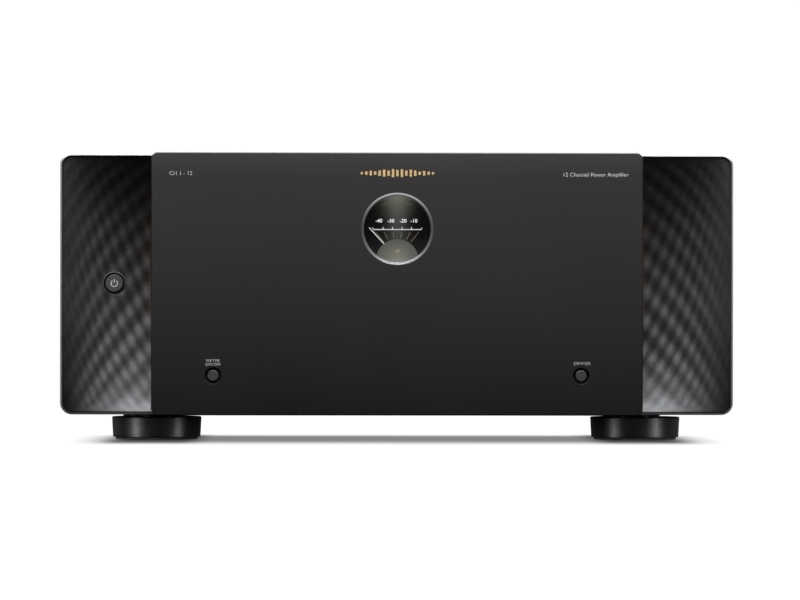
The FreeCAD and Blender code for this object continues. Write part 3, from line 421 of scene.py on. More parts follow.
def frame_material():
    """Satin black moulding whose outer front edge is a light grey painted highlight."""
    corner = 0.008          # corner radius that the painted highlight follows
    highlight_radius = 0.0070     # the painted highlight lies outside this radius
    top_widening = 0.0012   # how much wider the painted highlight grows at the top
    # the painted highlight reaches this far back from the front face
    front, highlight_depth = -0.216, 0.00135
    mat = Mat("frame_black")
    lo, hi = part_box("front_frame")
    mid_z = (lo.z + hi.z) / 2
    dx = mat.minus(mat.math("ABSOLUTE", mat.axis("X")), hi.x - corner)
    from_mid = mat.math("ABSOLUTE", mat.minus(mat.axis("Z"), mid_z))
    dz = mat.minus(from_mid, (hi.z - lo.z) / 2 - corner)
    r = mat.radius(mat.math("MAXIMUM", dx, 0.0), mat.math("MAXIMUM", dz, 0.0))
    high = mat.remap(mat.axis("Z"), over=(hi.z - 0.006, hi.z - 0.002))
    outer = mat.math("GREATER_THAN", mat.plus(r, mat.times(high, top_widening)), highlight_radius)
    rim = mat.math("LESS_THAN", mat.axis("Y"), front + highlight_depth)
    # the band of painted highlight on the outer front edge
    cut = mat.times(outer, rim)
    drift = mat.spread(mat.noise(scale=40))
    black = mat.mix(drift, (0.018, 0.018, 0.0185), (0.026, 0.026, 0.0265))
    # painted highlight colour: much lighter just below the top, darker again at the crown
    crown = mat.remap(mat.axis("Z"), over=(hi.z - 0.0009, hi.z - 0.0004))
    below_crown = mat.mix(high, grey(0.36), grey(0.88))
    at_crown = mat.mix(high, grey(0.36), grey(0.29))
    mat.set("Base Color", mat.mix(cut, black, mat.mix(crown, below_crown, at_crown)))
    mat.set("Metallic", mat.times(cut, 0.2))
    mat.set("Roughness", mat.spread(mat.noise(scale=300), 0.32, 0.40))
    mat.set("Normal", mat.bump(mat.noise(scale=1800, detail=2), strength=0.08, depth=0.00004))
    return mat


def foot_material():
    """Gloss black moulding; the rear pair, and the upper part of each foot, are duller."""
    dull, glossy = 0.15, 0.9
    drum_top = 0.0149
    mat = surface("foot_black", grey(0.006), (0.32, 0.03), spec=glossy, drift=(0.15, 60),
                  grain=(2500, 0.02, 0.00001))
    front = mat.math("LESS_THAN", mat.axis("Y"), 0.0)
    drum = mat.math("LESS_THAN", mat.axis("Z"), drum_top)
    gloss = mat.times(mat.times(front, drum), glossy - dull)
    mat.set("Specular IOR Level", mat.plus(dull, gloss))
    return mat


def ring_material():
    """Turned silver ring whose bevel glows with a painted highlight, bright above and below and dim
    at the sides.
    """
    mat = brushed("bezel_silver", (0.20, 0.20, 0.204), rough=0.42, direction="Y", metal=0.6)
    dx = mat.minus(mat.axis("X"), METER_X)
    dz = mat.minus(mat.axis("Z"), METER_Z)
    r = mat.radius(dx, dz)
    side_falloff = 1.8
    steepness = mat.math("DIVIDE", mat.math("ABSOLUTE", dz), r)
    catch = mat.math("POWER", steepness, side_falloff)
    upper = mat.math("GREATER_THAN", dz, 0.0)
    # seen from below, only the outer half of the upper bevel gets the painted highlight
    inner = mat.times(upper, mat.remap(r, to=(1.0, 0.15), over=(0.0222, 0.0228)))
    catch = mat.times(catch, mat.invert(inner))
    # strength of the painted highlight on the lower half, and what the upper half adds to it
    lower_gain, upper_extra = 0.57, 0.85
    catch = mat.times(catch, mat.plus(lower_gain, mat.times(upper, upper_extra)))
    mat.glow(mat.mix(catch, (0.044, 0.044, 0.045), (0.40, 0.40, 0.405)))
    return mat


def dial_material():
    """Brushed black dial with painted light: a soft lit band down the middle, an olive glow under the
    top and a faint glow low down.
    """
    band_width, top_width = 0.0062, 0.0085
    band_gain, foot_gain, top_falloff = 1.0, 0.5, 2.6
    mat = Mat("dial_black")
    x, z = mat.axis("X"), mat.axis("Z")
    brush = mat.noise(scale=60, rough=0.6, vector=mat.stretched((60.0, 1.0, 1.2)))
    band = mat.bell(x, band_width)
    up = mat.remap(z, over=(METER_Z - 0.004, METER_Z + 0.021))
    faint = mat.remap(brush, to=(0, 0.5), over=(0.35, 0.65))
    mat.set("Base Color", mat.mix(faint, (0.004, 0.004, 0.0042), grey(0.010)))
    # painted light: the band, the olive glow under the top and the faint glow low down
    glow = mat.mix(mat.times(band, band_gain), (0.0010, 0.0010, 0.0011), grey(0.060))
    wide = mat.remap(mat.bell(x, top_width), to=(0.04, 0.95))
    top = mat.times(mat.math("POWER", up, top_falloff), wide)
    glow = mat.mix(top, glow, (0.190, 0.186, 0.155))
    foot = mat.remap(z, to=(1.0, 0.0), over=(METER_Z - 0.018, METER_Z - 0.005))
    glow = mat.mix(mat.times(foot, foot_gain), glow, (0.030, 0.030, 0.029))
    mat.glow(mat.mix(mat.remap(brush, to=(0, 0.25), over=(0.35, 0.65)), glow, grey(0)))
    mat.set("Roughness", mat.spread(brush, 0.30, 0.5))
    mat.set("Normal", mat.bump(brush, strength=0.1, depth=0.00005))
    mat.set("Metallic", 0.3)
    return mat


def hub_material():
    """Bronze-grey brushed cover with a painted glow, strongest low in the middle, for the light of
    the lamps below the dial.
    """
    mat = brushed("hub_bronze", (0.17, 0.168, 0.148), rough=0.5, direction="X", metal=0.5)
    down = mat.remap(mat.axis("Z"), to=(1.0, 0.0), over=(METER_Z - 0.022, METER_Z - 0.006))
    lit = mat.times(down, mat.bell(mat.axis("X"), 0.010))
    mat.glow(mat.mix(lit, (0.040, 0.0395, 0.034), (0.19, 0.188, 0.166)))
    return mat


def lip_material():
    """Black well with a thin polished outer lip."""
    lip_width = 0.00055
    mat = surface("ring_grey", None, (0.35, 0.04), spec=0.4, drift=(0.1, 200),
                  grain=(3000, 0.05, 0.00002))
    lo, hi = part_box("power_button_bezel")
    mid_x, mid_z = middle("power_button_bezel")
    r = mat.radius(mat.minus(mat.axis("X"), mid_x), mat.minus(mat.axis("Z"), mid_z))
    lip = mat.math("GREATER_THAN", r, (hi.z - lo.z) / 2 - lip_width)
    polished = mat.mix(mat.noise(scale=500), grey(0.10), grey(0.16))
    mat.set("Base Color", mat.mix(lip, grey(0.010), polished))
    mat.set("Metallic", mat.times(lip, 0.4))
    return mat


def board_material():
    """Green solder mask broken into small cells."""
    mat = Mat("board_green")
    cells = mat.add("ShaderNodeTexBrick", {
        "Scale": 90.0,
        "Color1": (0.012, 0.075, 0.03),
        "Color2": (0.018, 0.10, 0.045),
        "Mortar": (0.03, 0.15, 0.06),
        "Vector": mat.stretched((1.0, 0.6, 1.4)),
    }).outputs
    blotch = mat.remap(mat.noise(scale=400), to=(0, 0.3))
    mat.set("Base Color", mat.mix(blotch, cells["Color"], (0.05, 0.14, 0.05)))
    mat.set("Roughness", mat.remap(mat.noise(scale=150), to=(0.3, 0.5)))
    mat.set("Normal", mat.bump(cells["Fac"], strength=0.3, depth=0.0001))
    return mat


def lamp_strip_material():
    """Pale board with amber lamps that glow weakly."""
    mat = Mat("lamp_strip")
    # this scale sets the lamps about 15.4 mm apart
    lamp = mat.value(
        "ShaderNodeTexWave",
        {"Scale": 20.404487179, "Distortion": 0.0, "Vector": mat.coord},
        output="Fac", bands_direction="Z",
    )
    paper = mat.remap(mat.noise(scale=200))
    mat.set("Base Color", mat.mix(paper, (0.6, 0.55, 0.42), (0.75, 0.7, 0.6)))
    mat.set("Roughness", 0.5)
    mat.set("Emission Color", (1.0, 0.46, 0.10))
    # the strips light their neighbours more than they show themselves
    light_gain, view_loss = 1.4, 0.4
    gain = mat.minus(light_gain, mat.times(mat.camera_ray(), view_loss))
    mat.set("Emission Strength", mat.times(mat.remap(lamp, to=(0.15, 0.5)), gain))
    return mat


def glass_material():
    """Thin clear crystal: see-through face on, mirror-like at a slant, with faint haze."""
    mat = Mat("lens_glass", principled=False)
    clear = mat.value("ShaderNodeBsdfTransparent", {0: (0.97, 0.975, 0.97)})
    haze = mat.spread(mat.noise(scale=40), 0.02, 0.07)
    mirror = mat.value("ShaderNodeBsdfGlossy", {"Roughness": haze})
    slant = mat.value("ShaderNodeFresnel", {"IOR": 1.45})
    reflectance = 0.7
    mat.finish(mat.mix_shader(mat.times(slant, reflectance), clear, mirror))
    return mat


FASCIA, WING = fascia_material(), wing_material()
MATERIALS = {
    "wing_panel_left": WING,
    "wing_panel_right": WING,
    "fascia_plate": FASCIA,
    "front_frame": frame_material(),
    "top_cover": surface("cover_black", (0.017, 0.017, 0.0175), (0.48, 0.06),
                         drift=(0.2, 14), grain=(1100, 0.35, 0.00008)),
    "chassis_base": brushed("chassis_steel", (0.42, 0.38, 0.34), rough=0.36, direction="Y"),
    "rear_panel": surface("rear_black", (0.016, 0.016, 0.0165), (0.5, 0.06),
                          drift=(0.2, 18), grain=(1100, 0.3, 0.00008)),
    "feet": foot_material(),
    "foot_pads": surface("pad_rubber", grey(0.055), (0.85, 0.05), spec=0.3,
                         drift=(0.25, 120), grain=(1500, 0.4, 0.0001)),
    "meter_bezel": ring_material(),
    "meter_dial": dial_material(),
    "meter_hub_cover": hub_material(),
    "meter_needle": lit_print("needle_white", (0.85, 0.85, 0.82), glow=0.42),
    "meter_movement": surface("movement_black", grey(0.03), (0.6, 0.08)),
    "power_button": surface("power_dark", (0.052, 0.052, 0.053), (0.5, 0.05),
                            drift=(0.1, 200), grain=(3000, 0.12, 0.00003)),
    "power_button_bezel": lip_material(),
    "meter_button": surface("button_dark", (0.034, 0.034, 0.035), (0.46, 0.05),
                            drift=(0.1, 200), grain=(3000, 0.12, 0.00003)),
    "front_control_board": board_material(),
    "light_strips": lamp_strip_material(),
    "screws": surface("screw_black", (0.03, 0.03, 0.032), (0.32, 0.08), metal=0.7,
                      drift=(0.25, 300), grain=(2500, 0.1, 0.00003)),
    "xlr_sockets": surface("xlr_black", (0.02, 0.02, 0.021), (0.42, 0.06),
                           drift=(0.15, 80), grain=(2000, 0.15, 0.00004)),
    "rca_sockets": surface("rca_gold", (0.83, 0.60, 0.27), (0.22, 0.05), metal=1.0,
                           drift=(0.08, 150), grain=(2500, 0.05, 0.00002)),
    "mains_inlet": surface("inlet_black", grey(0.018), (0.4, 0.06),
                           drift=(0.15, 80), grain=(1800, 0.15, 0.00004)),
    "control_jacks": surface("jack_nickel", (0.66, 0.65, 0.62), (0.25, 0.05), metal=1.0,
                             drift=(0.08, 150), grain=(2500, 0.05, 0.00002)),
    "selector_switch_body": brushed("switch_steel", grey(0.5), rough=0.35, direction="X"),
    "selector_slider": surface("slider_white", (0.62, 0.62, 0.6), (0.45, 0.05),
                               drift=(0.06, 300), grain=(2500, 0.1, 0.00003)),
    "heatsinks": brushed("sink_anodised", (0.10, 0.10, 0.105), rough=0.45, direction="Y",
                         metal=0.8),
    "supply_transformers": surface("core_tape", (0.42, 0.28, 0.05), (0.35, 0.08),
                                   drift=(0.2, 60), grain=(900, 0.2, 0.00008)),
    "reservoir_capacitors": surface("can_sleeve", (0.012, 0.02, 0.05), (0.3, 0.06),
                                    drift=(0.15, 60), grain=(1500, 0.1, 0.00004)),
    "wiring_harness": surface("wire_black", grey(0.02), (0.6, 0.08),
                              drift=(0.2, 200), grain=(1500, 0.3, 0.0001)),
}
MATERIALS["dimmer_button"] = MATERIALS["meter_button"]
MATERIALS["terminal_posts"] = MATERIALS["rca_sockets"]
for piece_name in ("amplifier_boards", "power_supply_board", "input_board"):
    MATERIALS[piece_name] = MATERIALS["front_control_board"]
CAP_RED = surface("cap_red", (0.33, 0.012, 0.012), (0.3, 0.06), drift=(0.12, 120),
                  grain=(1800, 0.1, 0.00004))
CAP_BLACK = surface("cap_black", grey(0.014), (0.3, 0.06), drift=(0.2, 120),
                    grain=(1800, 0.1, 0.00004))
for piece_name in NODES:
    if piece_name.startswith("terminal_cap"):
        MATERIALS[piece_name] = CAP_RED if piece_name.endswith("red") else CAP_BLACK
MATERIALS["meter_lens"] = glass_material()
for piece_name, piece in NODES.items():
    piece.data.materials.clear()
    piece.data.materials.append(MATERIALS[piece_name].material)

WHITE = print_material("print_white", grey(0.62))
ICON = print_material("print_grey", grey(0.46))
GOLD = print_material("print_gold", (0.55, 0.375, 0.175), rough=0.38, metal=0.15)
LABEL = print_material("print_label", grey(0.42))
TAN = lit_print("print_tan", (0.42, 0.34, 0.20), glow=0.40)
DIAL_WHITE = lit_print("dial_print_white", (0.85, 0.85, 0.87), glow=0.78)
SCALE_WHITE = lit_print("scale_print_white", (0.6, 0.6, 0.61), glow=0.62)

# ------------------------------------------------------------------ dished wings
DISH_DEPTH = 30 * MM
DISH_HALF_HEIGHT = 83.7 * MM
DISH_POWER = 3.2            # how quickly the dish deepens from its outer edge
EDGE_MARGIN = 0.3 * MM      # the dish starts this far beyond the outer edge
CORNER = 5.9 * MM
WALL = 2.0 * MM
GRID_X, GRID_Z = 150, 300
HOLE_GAP = 0.05 * MM
HOLE_SNAP = 1.2 * MM        # how far outside the hole an edge point may be drawn in
# point from which the pads look evenly spread
VIEW_DISTANCE, VIEW_HEIGHT = 2.0, 0.063
VIEW_SHIFT = 0.0131         # sideways shift per length of depth
WEAVE_X, WEAVE_Z = 160.0, 102.6   # origin of the weave, in mm
WEAVE_WIDTH = 59.0                # in mm
COLUMN_DROP = 0.3278        # each column of pads is lower than the last by this part of a row
# the two crossing ridges and their product: phase in radians, height in mm
PHASE_A, RIDGE_A = -1.40, 0.27
PHASE_B, RIDGE_B = 0.10, 0.22
RIDGE_CROSS = 0.03
# painted sheen swing of the two ridges, and phase lead of the second
SHEEN_A, SHEEN_B, SHEEN_LEAD = 0.17, 0.27, 1.78


class Wing:
    """One panel; side is -1 at -X and 1 at +X, and x is a distance from the middle plane."""

    def __init__(self, node, side):
        lo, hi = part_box(node)
        self.side = side
        self.inner = min(abs(lo.x), abs(hi.x))
        self.outer = max(abs(lo.x), abs(hi.x))
        self.bottom, self.top, self.front = lo.z, hi.z, lo.y
        self.mid = (lo.z + hi.z) / 2
        self.span = self.outer + EDGE_MARGIN - self.inner

    def locate(self, x, z):
        """Share of the way from the inner to the outer edge, and mm above mid-height."""
        return (x - self.inner) / self.span, (z - self.mid) * 1000

    def dish(self, x, z):
        inward = min(max((self.outer + EDGE_MARGIN - x) / self.span, 0.0), 1.0)
        up = (z - self.mid) / DISH_HALF_HEIGHT
        depth = DISH_DEPTH * (1 - (1 - inward) ** DISH_POWER)
        return self.front + depth * max(0.0, 1 - up * up)

    def weave(self, x, z):
        """Phases of the two sets of ridges that bound the pads, and their fade at the edges.

        Columns of pads are crossed by rows. The deeper the dish, the wider the pads are
        spread, so that they look even from the front.
        """
        depth = self.dish(x, z) - self.front
        shrink = VIEW_DISTANCE / (VIEW_DISTANCE + depth)
        u = (x - self.side * VIEW_SHIFT * depth) * shrink * 1000 - WEAVE_X
        v = (VIEW_HEIGHT + (z - VIEW_HEIGHT) * shrink) * 1000 - WEAVE_Z
        q = u / WEAVE_WIDTH
        # fitted curves that count columns outward and rows upward
        column = WEAVE_WIDTH * (0.1696 * q - 0.00584 * q * q + 0.06915 * q ** 3)
        column += 0.0001832 * v * v
        row = 0.0512 * v + 8.7e-7 * v ** 3 + 0.0006 * u
        fade = 1 - 0.7 * smoothstep(0.55, 1.0, q)
        fade *= smoothstep(0, 10, (self.top - z) * 1000)
        fade *= smoothstep(0, 7, (z - self.bottom) * 1000)
        turn = 2 * math.pi
        return turn * (-COLUMN_DROP * column - row), turn * ((1 - COLUMN_DROP) * column - row), fade

    def surface_y(self, x, z):
        a, b, fade = self.weave(x, z)
        a, b = a + PHASE_A, b + PHASE_B
        across, height = self.locate(x, z)
        # the second ridge flattens towards the bottom, the lower outer part and the top
        calm = 1 - 0.45 * smoothstep(40, 78, -height)
        calm *= 1 - 0.4 * smoothstep(56, 76, -height) * smoothstep(0.25, 0.6, across)
        calm *= 1 - 0.55 * smoothstep(10, 72, height)
        ridges = RIDGE_A * math.cos(a) + RIDGE_B * calm * math.cos(b)
        ridges += RIDGE_CROSS * math.cos(b - a)
        return self.dish(x, z) - ridges * fade * MM

    def sheen(self, x, z):
        """Slow drift of sheen, in smooth terms set for the view from the front.

        Each term is a strength times where it acts, in shares of the width or mm of height.
        """
        # all of this is painted light and shade, which scales the wing's colour and specular
        a, b, fade = self.weave(x, z)
        across, height = self.locate(x, z)
        below = -height
        lower = smoothstep(-8, 62, below)
        # painted light and shade: lower part brighter inside and duller outside; middle part brighter
        # inside
        painted_shading = lower * (0.30 - 1.15 * across)
        painted_shading += 0.30 * (1 - across) * (1 - lower) * smoothstep(70, 20, abs(height))
        # painted light and shade on the bottom edge: bright inside, dull outside
        bottom = 0.80 * (1 - smoothstep(0.35, 0.9, across)) - 0.35 * smoothstep(0.7, 1.0, across)
        painted_shading += smoothstep(66, 82, below) * bottom
        # a painted highlight outside mid-height, patches of painted shade low down
        painted_shading += 0.32 * across * across * hill(height, -20, 45)
        painted_shading -= 0.14 * hill(across, 0.55, 0.35) * hill(height, -62, 22)
        painted_shading -= 0.26 * smoothstep(0.30, 0.60, across) * smoothstep(60, 76, below)
        if self.side < 0:
            # painted shade on the top, the lower inner edge and the bottom outer corner
            painted_shading -= 0.75 * smoothstep(30, 72, height) * (1 - 0.5 * across)
            painted_shading -= 0.30 * (1 - smoothstep(0.14, 0.34, across)) * hill(height, -46, 26)
            painted_shading -= 0.25 * smoothstep(0.80, 1.0, across) * smoothstep(55, 80, below)
        else:
            # painted shade on the top; below the middle painted shade inside and painted light
            # outside
            painted_shading -= 0.18 * smoothstep(30, 60, height)
            painted_shading += (0.26 * across - 0.80 * (1 - across)) * hill(height, -38, 36)
        # painted highlights on the pads; their contrast fades towards the top, the bottom and the
        # lower outer part
        contrast = 1 - 0.75 * smoothstep(15, 70, height)
        contrast *= 1 - 0.35 * smoothstep(40, 78, below)
        contrast *= 1 - 0.5 * smoothstep(56, 76, below) * smoothstep(0.25, 0.6, across)
        pads = SHEEN_A * (0.5 + 0.5 * contrast) * math.cos(a)
        pads += SHEEN_B * contrast * math.cos(b + SHEEN_LEAD)
        return math.exp(painted_shading + fade * pads)

    def warmth(self, x, z):
        """Painted lamp light, a glow on the pads near the inner edge, around mid-height."""
        a = self.weave(x, z)[0]
        across, height = self.locate(x, z)
        reach = hill(height, -2, 64) * (1 - smoothstep(0.16, 0.31, across))
        return reach * max(0.0, 0.75 + 0.5 * math.cos(a + 1.0))

    def columns(self):
        """Grid points column by column, cut short at the round outer corners."""
        columns = []
        for i in range(GRID_X + 1):
            x = self.inner + (self.outer - self.inner) * (i / GRID_X)
            cut = 0.0
            if x > self.outer - CORNER:
                d = x - (self.outer - CORNER)
                cut = CORNER - math.sqrt(max(CORNER * CORNER - d * d, 0.0))
            height = self.top - self.bottom - 2 * cut
            heights = [self.bottom + cut + height * k / GRID_Z for k in range(GRID_Z + 1)]
            columns.append([Vector((x, self.surface_y(x, z), z)) for z in heights])
        return columns

    def build(self, name, node):
        side, hole = self.side, None
        if side < 0:
            # round hole for the power button: x, z and radius
            lo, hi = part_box("power_button_bezel")
            x, z = middle("power_button_bezel")
            hole = (abs(x), z, (hi.z - lo.z) / 2 + HOLE_GAP)
        bm = bmesh.new()
        grid = [[bm.verts.new((side * p.x, p.y, p.z)) for p in col] for col in self.columns()]
        for i in range(GRID_X):
            for k in range(GRID_Z):
                quad = (grid[i][k], grid[i + 1][k], grid[i + 1][k + 1], grid[i][k + 1])
                if hole:
                    x = sum(abs(v.co.x) for v in quad) / 4
                    z = sum(v.co.z for v in quad) / 4
                    if math.hypot(x - hole[0], z - hole[1]) < hole[2]:
                        continue
                bm.faces.new(quad if side > 0 else quad[::-1])
        loose = [v for v in bm.verts if not v.link_faces]
        bmesh.ops.delete(bm, geom=loose, context="VERTS")
        if hole:
            self.round_hole(bm, *hole)
        # walls run back from every open edge
        edges = [e for e in bm.edges if e.is_boundary]
        walls = bmesh.ops.extrude_edge_only(bm, edges=edges)
        for item in walls["geom"]:
            if isinstance(item, bmesh.types.BMVert):
                item.co.y += WALL
        bm.normal_update()
        mesh = bpy.data.meshes.new(name)
        bmesh.ops.recalc_face_normals(bm, faces=bm.faces)
        for face in bm.faces:
            face.smooth = True
        bm.to_mesh(mesh)
        bm.free()
        for key, measure in (("pad_sheen", self.sheen), ("lamp_warmth", self.warmth)):
            layer = mesh.attributes.new(key, "FLOAT", "POINT")
            values = [measure(abs(v.co.x), v.co.z) for v in mesh.vertices]
            layer.data.foreach_set("value", values)
        skin = place(name, mesh, "chassis", WING)
        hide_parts(node)
        return skin

    def round_hole(self, bm, x, z, radius):
        """Draws the stepped edge of the hole onto a circle."""
        for v in bm.verts:
            if v.is_boundary:
                dx, dz = abs(v.co.x) - x, v.co.z - z
                d = math.hypot(dx, dz)
                if d < radius + HOLE_SNAP:
                    v.co.x = self.side * (x + dx / d * radius)
                    v.co.z = z + dz / d * radius


LEFT = Wing("wing_panel_left", -1).build("wing_skin_left", "wing_panel_left")
RIGHT = Wing("wing_panel_right", 1).build("wing_skin_right", "wing_panel_right")

# ------------------------------------------------------------------ print on the front plate
PLATE_SLOT = "satin_black_plate"
PLATE_LABELS = (
    # name, words, size mm, x mm, z mm, align, thickening mm, letter spacing
    ("meter", "METER", 2.6, -120.0, 52.8, "CENTER", -0.02, 1.22),
    ("on_off", "ON/OFF", 2.7, -120.0, 50.4, "CENTER", -0.02, 1.06),
    ("dimmer", "DIMMER", 3.0, 120.6, 51.1, "CENTER", -0.04, 1.04),
    ("channels", "CH 1 - 12", 3.7, -148.6, 174.8, "LEFT", -0.03, 1.0),
    ("function", "12 Channel Power Amplifier", 3.75, 150.9, 174.3, "RIGHT", -0.01, 1.0),
)
# heights of the motif's bars in mm, from left to right
MOTIF_HEIGHTS = (
    1.6, 2.2, 3.0, 2.2, 3.6, 4.6, 3.4, 5.2, 4.2, 5.2, 3.4, 4.6, 3.6, 2.2, 3.0, 2.2, 1.6,
)
MOTIF_PITCH, MOTIF_Z = 2.9 * MM, 0.1752


def plate_print():
    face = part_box("fascia_plate")[0].y
    for name, words, size, x, z, align, bold, spacing in PLATE_LABELS:
        print_text("label_" + name, words, size * MM, (x * MM, face - PRINT_LIFT, z * MM),
                   LABEL, align=align, bold=bold * MM, spacing=spacing)
    motif = Solids()
    for i, height in enumerate(MOTIF_HEIGHTS):
        x = middle("fascia_plate")[0] + (i - (len(MOTIF_HEIGHTS) - 1) / 2) * MOTIF_PITCH
        bar = bar_outline(x, MOTIF_Z, width=1.6, height=height, corner=0.4)
        motif.prism(bar, face, rise=0.06 * MM)
    motif.make("gold_motif", "chassis", PLATE_SLOT, GOLD)


plate_print()

# ------------------------------------------------------------------ meter scale, in mm
DIAL_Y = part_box("meter_dial")[0].y
DIAL_SLOT = "dial_black"
SCALE_END = ((15.0, -0.5), (15.6, -0.5), (16.7, 1.05), (15.9, 1.05))  # slanted end, x and z
TICK = ((-0.42, 0), (0.42, 0), (0.28, 1.5), (-0.28, 1.5))             # tapered tick, x and z
TICK_FIRST, TICK_PITCH = -9.3, 6.2
NEEDLE_PIVOT_Z = -19
RAY_FIRST, RAY_PITCH, RAY_TOP_Z = -14.1, 5.64, -1.9
RAY_START, RAY_HALF_WIDTH = 13.6, 0.11
NUMBERS = (("-40", -12.0), ("-30", -4.2), ("-20", 3.8), ("-10", 10.9))  # words and x
NUMBER_Z, UNIT_Z = 5.4, -14.4
DOTS, DOT_RADIUS, DOT_STEP = 9, 18.2, 7.0   # count, radius of their arc, degrees apart


def at_meter(x, z):
    """A place given in mm from the meter's middle."""
    return METER_X + x * MM, METER_Z + z * MM


def meter_scale_bar():
    bar = Solids()
    bar.prism(bar_outline(*at_meter(0, -0.2), width=30.8, height=0.66, corner=0.1), DIAL_Y)
    for side in (-1, 1):
        bar.prism([at_meter(side * x, z) for x, z in SCALE_END][::side], DIAL_Y)
    for k in range(4):
        bar.prism([at_meter(TICK_FIRST + TICK_PITCH * k + x, z) for x, z in TICK], DIAL_Y)
    bar.make("meter_scale_bar", "chassis", DIAL_SLOT, SCALE_WHITE)


def meter_rays():
    """Thin lines below the scale that point at the needle's pivot."""
    rays = Solids()
    pivot = Vector(at_meter(0, NEEDLE_PIVOT_Z))
    for k in range(6):
        top = Vector(at_meter(RAY_FIRST + RAY_PITCH * k, RAY_TOP_Z))
        along = (top - pivot).normalized()
        start = pivot + along * RAY_START * MM
        half = Vector((-along.y, along.x)) * RAY_HALF_WIDTH * MM
        corners = (start + half, top + half, top - half, start - half)
        rays.prism([tuple(corner) for corner in corners], DIAL_Y)
    rays.make("meter_radial_lines", "chassis", DIAL_SLOT, TAN)


def meter_numbers():
    for k, (words, offset) in enumerate(NUMBERS):
        x, z = at_meter(offset, NUMBER_Z)
        print_text("meter_number_%d" % (k + 1), words, 3.3 * MM, (x, DIAL_Y - PRINT_LIFT, z),
                   DIAL_WHITE, bold=0.06 * MM, spacing=1.04)


def meter_dots():
    """A row of small dots that follows the rim near the top."""
    dots = Solids()
    for k in range(DOTS):
        angle = math.radians(90 + (k - (DOTS - 1) // 2) * DOT_STEP)
        x, z = at_meter(DOT_RADIUS * math.cos(angle), DOT_RADIUS * math.sin(angle))
        dots.prism(bar_outline(x, z, width=0.62, height=0.62, corner=0.3), DIAL_Y)
    dots.make("meter_dots", "chassis", DIAL_SLOT, TAN)


def meter_unit():
    x, z = at_meter(0, UNIT_Z)
    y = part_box("meter_hub_cover")[0].y - PRINT_LIFT
    print_text("meter_unit", "dB", 2.9 * MM, (x, y, z), TAN, bold=0.06 * MM)


def power_icon():
    """A ring open at the top with a short upright bar in the gap."""
    x, z = middle("power_button")
    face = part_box("power_button")[0].y
    gap = 38  # degrees on each side of the top
    ring = arc_outline(x, z, inner=1.80 * MM, outer=2.40 * MM, start=90 + gap, end=450 - gap)
    icon = Solids()
    icon.prism(ring, face)
    icon.prism(bar_outline(x, z + 1.70 * MM, width=0.62, height=2.4, corner=0.2), face)
    icon.make("power_icon", "power_button", "button_dark", ICON)


meter_scale_bar()
meter_rays()
meter_numbers()
meter_dots()
meter_unit()
power_icon()

# ------------------------------------------------------------------ rear print and contacts
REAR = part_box("rear_panel")[1].y + PRINT_LIFT
REAR_SLOT = "rear_black"
RCA_RADIUS = 5.9 * MM
RCA_INSULATOR = (1.62 * MM, 3.4 * MM)        # inner and outer radius
XLR_CONTACT = (0.95 * MM, 1.27 * MM)         # inner and outer radius
XLR_CONTACT_CIRCLE = 4 * MM


def rear_text(name, words, size, x, z, bold=0.0):
    print_text("rear_" + name, words, size * MM, (x, REAR, z), WHITE, side=1,
               bold=bold)


def rear_details():
    lo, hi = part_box("rca_sockets")
    first = lo.x + RCA_RADIUS
    pitch = (hi.x - lo.x - 2 * RCA_RADIUS) / (CHANNELS - 1)
    rca_z = middle("rca_sockets")[1]
    xlr_z = middle("xlr_sockets")[1]
    red_z = middle("terminal_cap_01_red")[1]
    black_z = middle("terminal_cap_01_black")[1]
    insulators, contacts = Solids(), Solids()
    for k in range(CHANNELS):
        x = first + k * pitch
        rear_text("number_%02d" % (k + 1), str(k + 1), 5.0, x + 9.0 * MM, rca_z - 9.5 * MM,
                  bold=0.04 * MM)
        ends = (REAR + 1.2 * MM, REAR + 9.55 * MM)
        insulators.tube(x, rca_z, RCA_INSULATOR, ends, steps=32)
        for degrees in (90, 210, 330):
            angle = math.radians(degrees)
            contact_x = x + XLR_CONTACT_CIRCLE * math.cos(angle)
            contact_z = xlr_z + XLR_CONTACT_CIRCLE * math.sin(angle)
            ends = (REAR - 6 * MM, REAR + 1.4 * MM)
            contacts.tube(contact_x, contact_z, XLR_CONTACT, ends, steps=20)
    white = surface("rca_white", (0.6, 0.6, 0.58), (0.4, 0.05), drift=(0.05, 300),
                    grain=(2500, 0.08, 0.00003))
    insulators.make("rca_insulators", "chassis", REAR_SLOT, white)
    contacts.make("xlr_contacts", "chassis", "rca_gold", MATERIALS["rca_sockets"])

    sign_x = first + 11.6 * pitch
    rear_text("balanced", "BALANCED", 4.2, 133.0 * MM, xlr_z + 16.5 * MM)
    rear_text("inputs", "INPUT", 4.2, first, rca_z + 10.2 * MM)
    rear_text("plus", "+", 8.0, sign_x, red_z)
    rear_text("minus", "-", 8.0, sign_x, black_z)
    rear_text("speakers", "SPEAKERS", 4.2, 0.0, red_z + 14.5 * MM)
    jacks_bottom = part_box("control_jacks")[0].z
    rear_text("trigger", "CONTROL", 3.6, middle("control_jacks")[0], jacks_bottom - 4 * MM)
    inlet_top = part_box("mains_inlet")[1].z
    rear_text("ac", "AC IN", 4.2, middle("mains_inlet")[0], inlet_top + 5 * MM)


rear_details()

# ------------------------------------------------------------------ floor
FLOOR_REACH = 9


